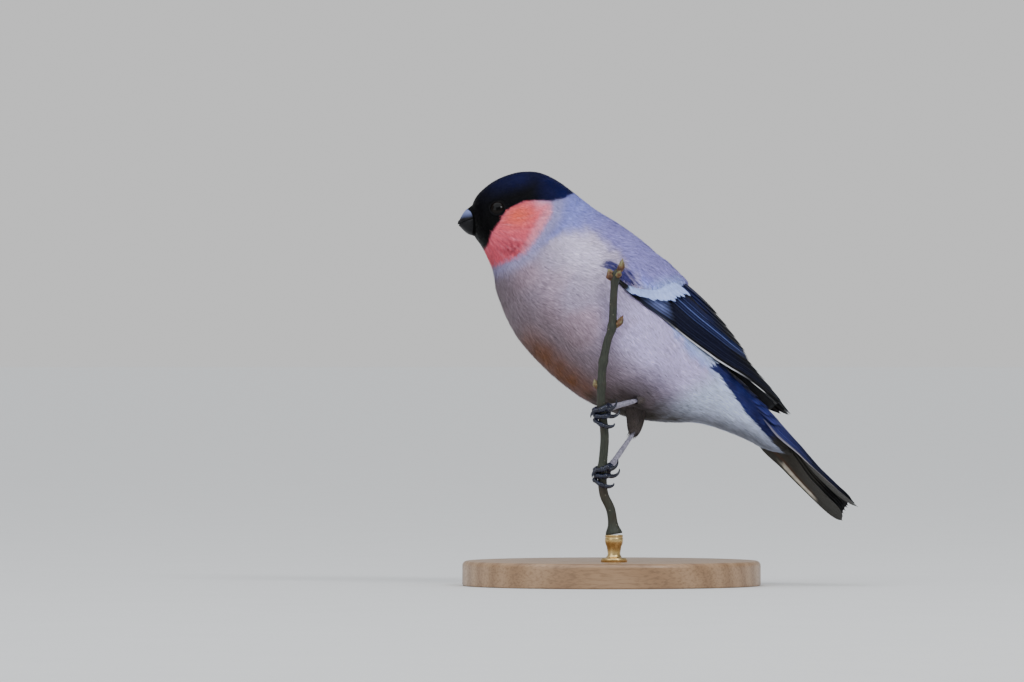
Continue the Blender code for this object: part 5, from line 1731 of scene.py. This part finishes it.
@dataclass(frozen=True)
class Foot:
    """A scaled tarsus and a foot whose toes wind round the stem."""

    leg: Leg
    stem: Stem
    toes: tuple[Toe, ...] = (
        Toe(-276.0, 2.8, 0.7, 1.5, 0.72, 5.6, 1.0),
        Toe(-300.0, 1.6, -0.6, 0.5, 0.78, 6.2, 0.7),
        Toe(-254.0, 0.8, -2.7, -0.7, 0.70, 4.8, 0.5),
        Toe(150.0, 3.0, 2.5, -0.9, 0.84, 4.2, -0.9),
    )
    palm_rise: float = 2.5
    palm_radius: float = 1.2
    top: float = 0.5
    middle: float = 0.82

    def palm(self) -> Array:
        """The middle of the palm."""
        reach = self.stem.radius + GAP + 0.08 + self.palm_radius
        return self.stem.beside(np.array(self.leg.grip + self.palm_rise), np.array(self.leg.palm_turn), np.array(reach))

    def tarsus(self) -> bmesh.types.BMesh:
        """The tarsus, with the steps of its scutes."""
        ankle = np.array(self.leg.ankle)
        palm = self.palm()
        way = unit(palm - ankle)
        t = np.linspace(0, 1, 120)
        start = ankle - way
        spine = start + (palm - way * 0.8 - start) * t[:, None]
        spine[:, 1] += self.leg.sunk * np.clip(1 - t / 0.42, 0, 1) ** 1.6
        knee = np.maximum(0, 1 - t * 1.6) * (self.top - self.middle - 0.1 * self.leg.sunk)
        flare = 0.25 * np.maximum(0, t * 5 - 4)
        scutes = 0.10 * (1 - (t * 9) % 1.0) ** 0.7
        cap = np.sqrt(np.clip(t / 0.08, 0.02, 1))
        return shaped(24, 119, tube_shape(spine, (self.middle + knee + flare + scutes) * cap), ON_ROW, True)

    def toe(self, toe: Toe) -> tuple[bmesh.types.BMesh, bmesh.types.BMesh]:
        """A toe with its pads and scutes, and its claw."""
        t = np.linspace(0, 1, 110)
        joints = np.max([np.exp(-(((t - joint) / 0.055) ** 2)) for joint in (0.0, 0.34, 0.62, 0.86)], axis=0)
        size = toe.radius * (lerp(1.0, 0.84, t) + 0.26 * joints)
        size += 0.05 * (1 - (t * 24) % 1.0)
        sway = 0.3 * np.sin(2 * math.pi * t + toe.radius * 40) * np.sin(math.pi * t)
        height = self.leg.grip + lerp(toe.start, toe.end, ease(t)) + sway + toe.tilt * ease((t - 0.55) / 0.45)
        reach = self.stem.radius + GAP + 0.08 + toe.radius * lerp(1.0, 0.9, t) * (1 + 0.16 * joints)
        spine = self.stem.beside(height, self.leg.palm_turn + toe.sweep * t, reach)
        blunt = np.sqrt(np.clip((1 - t) / 0.04, 0.03, 1))
        body = shaped(18, 109, tube_shape(spine, size * blunt), ON_ROW, True)
        heading = unit(spine[-1] - spine[-4])
        outward = unit(spine[-1] - self.stem.centre(np.array(spine[-1, 2])))
        s = np.linspace(0, 1, 24)
        away = unit(heading * 0.6 + outward * 0.4)
        start, swing = math.radians(-25), math.radians(130)
        bend = start + swing * s
        arc = toe.claw / swing
        rise = columns(0 * s, 0 * s, arc * toe.curl * (math.cos(start) - np.cos(bend)))
        path = spine[-4] + away * (arc * (np.sin(bend) - math.sin(start)))[:, None] + rise
        girth = 0.72 * (1 - s) ** 0.75 + 0.06
        return body, shaped(14, 23, tube_shape(path, girth), ON_ROW, True)

    def build(self, word: str, scales: bpy.types.Material, toes: bpy.types.Material, horn: bpy.types.Material) -> None:
        """Make the tarsus, the foot and its claws."""
        finished(self.tarsus(), "scaled_tarsus_" + word, scales, Slot.LEG, "tarsus_" + word)
        pairs = [self.toe(toe) for toe in self.toes]
        palm = self.palm()
        way = unit(palm - np.array(self.leg.ankle))
        t = np.linspace(-1, 1, 20)
        pad = shaped(20, 19, tube_shape(palm + way * t[:, None] * 1.5, 1.25 * np.sqrt(1.02 - t**2)), ON_ROW, True)
        finished(gathered([pad, *(pair[0] for pair in pairs)]), "toes_" + word, toes, Slot.LEG, "foot_" + word)
        finished(gathered([pair[1] for pair in pairs]), "claws_" + word, horn, Slot.HORN)


@dataclass(frozen=True)
class Stand:
    """The flat round base and the short rod that holds the stem."""

    radius: float = 48.0
    thickness: float = 8.0
    edge: float = 1.6
    rod_radius: float = 2.0
    heel: tuple[float, float, float] = (0.6, -18.6, 17.0)

    def turned(self, profile: Sequence[tuple[float, float]], centre: tuple[float, float], steps: int) -> bmesh.types.BMesh:
        """A solid spun from its profile.

        Args:
            profile: Radius and height of each corner, from the axis round to the axis.
            centre: Where its axis stands, in millimetres.
            steps: Faces round it.

        Returns:
            The mesh in metres.
        """
        bm = bmesh.new()
        verts = [bm.verts.new(((centre[0] + r) * MM, centre[1] * MM, z * MM)) for r, z in profile]
        edges = [bm.edges.new(pair) for pair in zip(verts, verts[1:])]
        middle = Vector((centre[0] * MM, centre[1] * MM, 0.0))
        geometry = [*verts, *edges]
        bmesh.ops.spin(bm, geom=geometry, cent=middle, axis=(0, 0, 1), angle=2 * math.pi, steps=steps, use_merge=True)
        bmesh.ops.remove_doubles(bm, verts=bm.verts, dist=1e-7)
        bmesh.ops.recalc_face_normals(bm, faces=bm.faces)
        return bm

    def rounded(self, corner: tuple[float, float], size: float, start: float) -> list[tuple[float, float]]:
        """Eight points of a quarter circle round a centre, from an angle in degrees upwards."""
        angles = [math.radians(start + 90 * k / 7) for k in range(8)]
        return [(corner[0] + size * math.cos(a), corner[1] + size * math.sin(a)) for a in angles]

    def build(self, wood: bpy.types.Material, brass: bpy.types.Material) -> None:
        """Make the base and the rod."""
        foot = self.rounded((self.radius - 0.6, 0.6), 0.6, -90)
        rim = self.rounded((self.radius - self.edge, self.thickness - self.edge), self.edge, 0)
        finished(self.turned([(0, 0), *foot, *rim, (0, self.thickness)], (0, 0), 128), "base", wood, Slot.WOOD, "stand_base")
        low = self.thickness
        x, y, z = self.heel
        flange = self.rounded((3.6, low + 0.7), 0.6, 0)
        cup = [(2.35, z - 4.0), (2.7, z - 3.2), (2.9, z - 2.4), (2.9, z - 1.3), (2.7, z - 1.1), (2.9, z - 0.9)]
        neck = [(2.6, low + 1.5), (2.25, low + 1.9), (2.0, low + 2.6)]
        profile = [(0, low), (4.2, low), *flange, *neck, *cup, *self.rounded((2.6, z - 0.6), 0.3, 0), (0, z - 0.3)]
        finished(self.turned(profile, (x, y), 64), "rod", brass, Slot.METAL, "stand_rod")


@dataclass(frozen=True)
class Studio:
    """The camera at the photograph's viewing angle, soft lights, and a plain pale floor."""

    frame_width: float = 0.32768
    middle: tuple[float, float] = (-0.032, 0.07864)
    distance: float = 3.0
    sensor: float = 36.0

    def camera(self) -> None:
        """A level camera that looks along +Y."""
        data = bpy.data.cameras.new("camera")
        data.sensor_width = self.sensor
        data.lens = self.sensor * self.distance / self.frame_width
        data.clip_end = 60.0
        made = bpy.data.objects.new("camera", data)
        made.location = (self.middle[0], -self.distance - 0.015, self.middle[1])
        made.rotation_euler = (math.radians(90), 0.0, 0.0)
        bpy.context.scene.collection.objects.link(made)
        bpy.context.scene.camera = made

    def lamp(self, name: str, place: tuple[float, float, float], size: float, watts: float, warmth: tuple) -> None:
        """A square soft light that faces the bird."""
        data = bpy.data.lights.new(name, "AREA")
        data.size = size
        data.energy = watts
        data.color = warmth
        made = bpy.data.objects.new(name, data)
        made.location = place
        aim = Vector((0.0, 0.0, 0.08)) - Vector(place)
        made.rotation_euler = aim.to_track_quat("-Z", "Y").to_euler()
        bpy.context.scene.collection.objects.link(made)

    def build(self) -> None:
        """Set up the camera, the lights and the floor."""
        self.camera()
        self.lamp("key", (0.9, -0.95, 1.25), 0.5, 9.7, (0.97, 0.98, 1.0))
        self.lamp("fill", (-1.2, -1.1, 0.7), 1.0, 5.1, (0.92, 0.96, 1.0))
        sun = bpy.data.objects.new("overhead", bpy.data.lights.new("overhead", "SUN"))
        sun.data.energy = 2.0
        sun.data.angle = math.radians(75)
        sun.data.color = (0.925, 0.96, 1.0)
        sun.rotation_euler = (math.radians(12), math.radians(-10), 0.0)
        bpy.context.scene.collection.objects.link(sun)
        world = bpy.data.worlds.new("world")
        bpy.context.scene.world = world
        world.use_nodes = True
        tree = world.node_tree
        ray = tree.nodes.new("ShaderNodeSeparateXYZ")
        tree.links.new(tree.nodes.new("ShaderNodeTexCoord").outputs["Generated"], ray.inputs[0])
        sky = tree.nodes.new("ShaderNodeValToRGB")
        tree.links.new(ray.outputs["Z"], sky.inputs["Fac"])
        for place, level in ((0.07, 0.74), (0.25, 0.42)):
            sky.color_ramp.elements.new(place).color = (level, level, level, 1.0)
        sky.color_ramp.elements[0].color = (0.74, 0.74, 0.74, 1.0)
        sky.color_ramp.elements[-1].color = (0.42, 0.44, 0.48, 1.0)
        tree.links.new(sky.outputs["Color"], tree.nodes["Background"].inputs["Color"])
        bm = bmesh.new()
        bmesh.ops.create_circle(bm, cap_ends=True, segments=96, radius=25.0)
        mesh = bpy.data.meshes.new("floor")
        bm.to_mesh(mesh)
        bm.free()
        finish = Finish("pale_floor", 0.95)
        finish.set(Specular_IOR_Level=0.1)
        grain = finish.noise(finish.places(), 30.0)
        mesh.materials.append(finish.wear(finish.ramp(grain, ((0.0, (0.72, 0.72, 0.71)), (1.0, (0.76, 0.76, 0.75))))))
        floor = bpy.data.objects.new("floor", mesh)
        bpy.context.scene.collection.objects.link(floor)


def eye_finish(eye: Eye, word: str) -> bpy.types.Material:
    """A glossy dark eye: a black pupil, a deep brown iris, and black outside it."""
    finish = Finish("eye_" + word, 0.10)
    finish.set(Specular_IOR_Level=0.0, Coat_Weight=0.3, Coat_Roughness=0.09)
    front = ON_BIRD.metres(eye.centre() + eye.outward() * eye.radius)
    moved = finish.node("VectorMath", {"0": finish.places(), "1": tuple(front)}, operation="DISTANCE")
    away = finish.math("MULTIPLY", moved.outputs["Value"], 1000.0)
    stops = ((0.0, (0.001, 0.001, 0.001)), (0.5, (0.001, 0.001, 0.001)), (0.58, (0.005, 0.0025, 0.0015)))
    stops += ((0.82, (0.003, 0.0015, 0.001)), (0.92, (0.001, 0.001, 0.001)))
    return finish.wear(finish.ramp(finish.span(away, 0.0, 1.0, 0.0, 2.6), stops))


def bill_finish(bill: Bill) -> bpy.types.Material:
    """Black horn with a painted blue-grey sheen on the top of the bill."""
    finish = Finish("bill_horn", 0.3)
    finish.set(Specular_IOR_Level=0.15, Coat_Weight=0.05, Coat_Roughness=0.25)
    where = finish.places()
    root = ON_BIRD.metres(np.array(bill.root))
    upward = unit(ON_BIRD.metres(np.array(bill.root) + np.array(bill.upward)) - root)
    off = finish.node("VectorMath", {"0": where, "1": tuple(root)}, operation="SUBTRACT").outputs["Vector"]
    rise = finish.node("VectorMath", {"0": off, "1": tuple(upward)}, operation="DOT_PRODUCT").outputs["Value"]
    # painted reflection: a blue-grey sheen on the upper part of the bill
    painted_top_sheen = finish.span(rise, 0.0, 1.0, 0.0009, 0.0030)
    grain = finish.noise(where, 1500.0, 5.0)
    horn = finish.ramp(grain, ((0.3, (0.003, 0.003, 0.004)), (0.7, (0.009, 0.009, 0.011))))
    colour = finish.mix(finish.math("MULTIPLY", painted_top_sheen, 0.85), horn, (0.21, 0.25, 0.50))
    return finish.wear(colour, finish.span(grain, 0.34, 0.5, 0.3, 0.7), finish.bump(grain, 0.35, 0.00005))


def plain_finish(
    name: str, low: tuple, high: tuple, scale: float, roughness: tuple[float, float], bump: float, **sockets: float
) -> bpy.types.Material:
    """A finish whose colour, roughness and relief follow one noise.

    Args:
        name: Name of the material.
        low: Linear colour in the hollows.
        high: Linear colour on the heights.
        scale: Waves of the noise in a metre.
        roughness: Roughness in the hollows and on the heights.
        bump: Depth of the relief in metres.
        sockets: Even values of the shader's other sockets.

    Returns:
        The material.
    """
    finish = Finish(name, roughness[0])
    finish.set(**sockets)
    grain = finish.noise(finish.places(), scale, 6.0)
    colour = finish.ramp(grain, ((0.32, low), (0.68, high)))
    rough = finish.span(grain, roughness[0], roughness[1], 0.3, 0.7)
    return finish.wear(colour, rough, finish.bump(grain, 0.5, bump))


def bark_finish() -> bpy.types.Material:
    """Olive bark with paler breathing pores and a brown cast in broad patches."""
    finish = Finish("green_bark", 0.55)
    where = finish.places()
    long = finish.node("Mapping", {"Vector": where, "Scale": (1.0, 1.0, 0.18)}).outputs["Vector"]
    streaks = finish.noise(long, 2600.0, 5.0)
    broad = finish.noise(where, 130.0, 3.0)
    colour = finish.ramp(streaks, ((0.3, (0.008, 0.011, 0.006)), (0.7, (0.036, 0.042, 0.026))))
    colour = finish.mix(finish.span(broad, 0.0, 0.6, 0.48, 0.7), colour, (0.045, 0.028, 0.015))
    pores = finish.node("TexVoronoi", {"Vector": where, "Scale": 620.0}).outputs["Distance"]
    spot = finish.span(pores, 1.0, 0.0, 0.06, 0.16)
    colour = finish.mix(spot, colour, (0.17, 0.16, 0.11))
    normal = finish.bump(streaks, 0.5, 0.0002)
    return finish.wear(colour, finish.span(streaks, 0.45, 0.75), finish.bump(spot, 0.6, 0.00015, normal))


def bud_finish() -> bpy.types.Material:
    """Bud scales in patches of red-brown, yellow-green and straw."""
    finish = Finish("bud_scales", 0.5)
    where = finish.places()
    broad = finish.noise(where, 420.0, 3.0)
    fine = finish.noise(where, 2400.0, 4.0)
    stops = ((0.34, (0.06, 0.022, 0.012)), (0.46, (0.16, 0.065, 0.026)), (0.56, (0.20, 0.17, 0.07)))
    colour = finish.ramp(broad, (*stops, (0.72, (0.33, 0.31, 0.17))))
    shade = finish.ramp(fine, ((0.3, (0.7, 0.7, 0.7)), (0.7, (1.1, 1.1, 1.1))))
    return finish.wear(finish.mix(1.0, colour, shade, "MULTIPLY"), None, finish.bump(fine, 0.4, 0.0001))


def wood_finish() -> bpy.types.Material:
    """Pale satin wood with growth rings across the disc and fine pores."""
    finish = Finish("pale_wood", 0.42)
    finish.set(Coat_Weight=0.25, Coat_Roughness=0.25)
    where = finish.places()
    turned = finish.node("Mapping", {"Vector": where, "Location": (0.02, 0.21, 0.0), "Scale": (0.12, 1.0, 1.0)})
    turned = turned.outputs["Vector"]
    warp = finish.node("Mapping", {"Vector": where, "Scale": (0.25, 1.0, 1.0)}).outputs["Vector"]
    bend = finish.math("MULTIPLY", finish.noise(warp, 18.0, 3.0), 0.012)
    shifted = finish.node("VectorMath", {"0": turned, "1": bend}, operation="ADD").outputs["Vector"]
    rings = finish.node("TexWave", {"Vector": shifted, "Scale": 42.0, "Distortion": 2.5, "Detail": 3.0}, wave_type="RINGS")
    pores = finish.noise(turned, 1500.0, 4.0)
    colour = finish.ramp(rings.outputs["Color"], ((0.0, (0.30, 0.175, 0.09)), (0.55, (0.36, 0.22, 0.118)), (1.0, (0.40, 0.25, 0.14))))
    shade = finish.ramp(pores, ((0.35, (0.74, 0.72, 0.70)), (0.55, (1.0, 1.0, 1.0))))
    colour = finish.mix(1.0, colour, shade, "MULTIPLY")
    return finish.wear(colour, finish.span(pores, 0.5, 0.36, 0.35, 0.6), finish.bump(pores, 0.2, 0.00006))


def brass_finish() -> bpy.types.Material:
    """Brushed brass with a little tarnish."""
    finish = Finish("brass", 0.28, 1.0)
    where = finish.places()
    turned = finish.node("Mapping", {"Vector": where, "Scale": (1.0, 1.0, 12.0)}).outputs["Vector"]
    brushed = finish.noise(turned, 900.0, 3.0)
    stain = finish.noise(where, 220.0, 4.0)
    colour = finish.ramp(stain, ((0.35, (0.46, 0.30, 0.11)), (0.6, (0.76, 0.56, 0.26))))
    return finish.wear(colour, finish.span(brushed, 0.2, 0.42, 0.3, 0.7), finish.bump(brushed, 0.15, 0.00005))


def nasal_colours(points: Array) -> Array:
    """The black of the feathers over the bill's root."""
    return np.zeros(points.shape) + Tone.LORE.linear()


def shin_colours(points: Array) -> Array:
    """The shins' feathers, coloured as the belly round them with painted shade, greyer brown on the right and darker on
    the left.
    """
    # painted shade: the belly's colours darkened a little for the shins under it
    belly = paint(MARKINGS.colours(points), Tone.BREAST_PAINTED_SHADE, np.zeros(points.shape[:-1]) + 0.3)
    brown = lerp(0.35, 0.8, ease((2.0 - points[..., 0]) / 5.0)) + 0.2 * waver(points, 3.0, 41)
    # painted shade: the left shin darker where it goes into the belly's feathers
    return paint(paint(belly, Tone.SHIN, brown), Tone.UNDER_BROWN, 0.45 * ease((points[..., 0] - 2.0) / 4.0))


def build_plumage(body: Form, shins: dict[str, Form], cuff: Form, eyes: Sequence[Eye]) -> None:
    """Make the skin and every piece of the coat.

    Args:
        body: The feathered body.
        shins: The feathered cone of each leg.
        cuff: The feathered form over the bill's root.
        eyes: Both eyes, which stay uncovered.
    """
    soft = Plumage("soft_plumage").make()
    glossy = Plumage("glossy_plumage", 1.0).make()
    Skin(body, shins).build(Plumage("skin_plumage").make())

    def blocked(points: Array) -> Array:
        hits = np.zeros(len(points), bool)
        for eye in eyes:
            hits |= eye.near(points)
        return hits

    def everywhere(points: Array) -> Array:
        return np.ones(len(points), bool)

    def capped(points: Array) -> Array:
        return within(MARKINGS.head_view(points), MARKINGS.black, 0.7) > 0.5

    def dorsal(points: Array) -> Array:
        place = MARKINGS.trunk_view(points)
        return (place[:, 1] > blend(place[:, 0], MARKINGS.dorsal_line)) & (place[:, 0] < 24)

    def tail_black(points: Array) -> Array:
        return within(MARKINGS.trunk_view(points), MARKINGS.tail_coverts, 0.5) > 0.5

    def lean(points: Array) -> Array:
        along = points[:, 1]
        flank = ease((along + 22) / 20) * ease((46 - along) / 14) * np.sign(points[:, 0])
        return -0.22 * flank * ease((14 - np.abs(points[:, 2])) / 12)

    cap = Patch("coat_cap", Slot.CAP, capped)
    covert = Patch("coat_tail_coverts", Slot.FLIGHT, tail_black)
    face = Patch("coat_face", Slot.BREAST, lambda points: ~capped(points))
    mantle = Patch("coat_mantle", Slot.MANTLE, dorsal)
    breast = Patch("coat_breast", Slot.BREAST, lambda points: points[:, 1] < 24)
    fine = ((-60, 1.0), (-57, 1.3), (-50, 2.0), (-42, 2.7), (-30, 3.6))
    long = ((-40, 3.0), (-25, 4.6), (0, 5.6), (30, 6.2), (48, 7.0), (70, 7.5))
    share = 8.0 / 22
    end = Body().end_share
    off_black = Patch("coat_vent", Slot.VENT, lambda points: ~tail_black(points))
    only_cap = Tufts(fine, barbs=6, rows=4, overlap=12.0, streaks=0.05)
    head = Tufts(fine, barbs=6, rows=4, overlap=12.0, streaks=0.13)
    trunk = Tufts(long, barbs=8, overlap=15.0, streaks=0.13)
    sleek = Tufts(((20, 3.0), (70, 3.4)), barbs=7, rows=4, overlap=13.0, lift=0.7, streaks=0.05)
    bristles = Tufts(((-70, 1.3), (60, 1.3)), barbs=5, rows=4, overlap=12.0)
    leg = Tufts(((-60, 2.5), (60, 2.5)), barbs=7, rows=5, overlap=16.0, lift=1.25, streaks=0.2)
    coats = [
        (Coat(body, only_cap, 101, (cap,), last=share), glossy),
        (Coat(body, head, 111, (face,), last=share), soft),
        (Coat(body, trunk, 121, (mantle, breast, off_black), lean, first=share, last=end), soft),
        (Coat(body, sleek, 151, (covert,), first=0.5, last=end), glossy),
        (Coat(cuff, bristles, 161, (Patch("coat_bill_root", Slot.CAP, everywhere),), palette=nasal_colours), glossy),
    ]
    for number, (word, form) in enumerate(shins.items()):
        whole = (Patch("coat_shin_" + word, Slot.VENT, everywhere),)
        reach = LEGS[word].feathered
        coats.append((Coat(form, leg, 171 + number, whole, palette=shin_colours, first=0.2, last=reach), soft))
    total = sum(coat.build(finish, blocked) for coat, finish in coats)
    LOG.info("coat: %s triangles", total)


def build_model() -> None:
    """Build every sub-assembly of the model in order."""
    body = Body().form()
    stem = Stem()
    shins = {word: shin_form(leg, Foot(leg, stem).palm()) for word, leg in LEGS.items()}
    eyes = {"left": Eye(1), "right": Eye(-1)}
    bill = Bill()
    build_plumage(body, shins, bill.cuff(body), list(eyes.values()))
    vane = VaneFinish("flight_feather").make()
    under = plain_finish("underwing", (0.010, 0.010, 0.012), (0.030, 0.031, 0.036), 700.0, (0.6, 0.8), 0.0001)
    grid = VaneGrid()
    for word, side in (("left", 1), ("right", -1)):
        Wing(side).build(word, grid, vane, under)
    Tail().build(grid, vane)
    black = {"Specular_IOR_Level": 0.12}
    lid = plain_finish("eyelid", (0.002, 0.002, 0.003), (0.007, 0.007, 0.009), 2600.0, (0.6, 0.8), 0.00006, **black)
    for word, eye in eyes.items():
        eye.build(word, eye_finish(eye, word), lid)
    bill.build(bill_finish(bill))
    horn = plain_finish("dark_horn", (0.004, 0.005, 0.010), (0.014, 0.018, 0.040), 900.0, (0.16, 0.32), 0.00005)
    stem.build(bark_finish(), bud_finish())
    tarsus = plain_finish("dusky_scales", (0.14, 0.13, 0.17), (0.38, 0.36, 0.46), 1500.0, (0.36, 0.58), 0.00008)
    # painted sheen: the lighter scales of the toes are tinted blue
    toes = plain_finish("toe_scales", (0.003, 0.004, 0.011), (0.013, 0.019, 0.050), 1500.0, (0.18, 0.36), 0.00008)
    for word, leg in LEGS.items():
        Foot(leg, stem).build(word, tarsus, toes, horn)
    Stand().build(wood_finish(), brass_finish())
    Studio().build()


def main() -> None:
    """Build the model."""
    logging.basicConfig(level=logging.INFO, format="%(message)s")
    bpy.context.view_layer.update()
    build_model()
    bpy.context.view_layer.update()


if __name__ == "__main__":
    main()
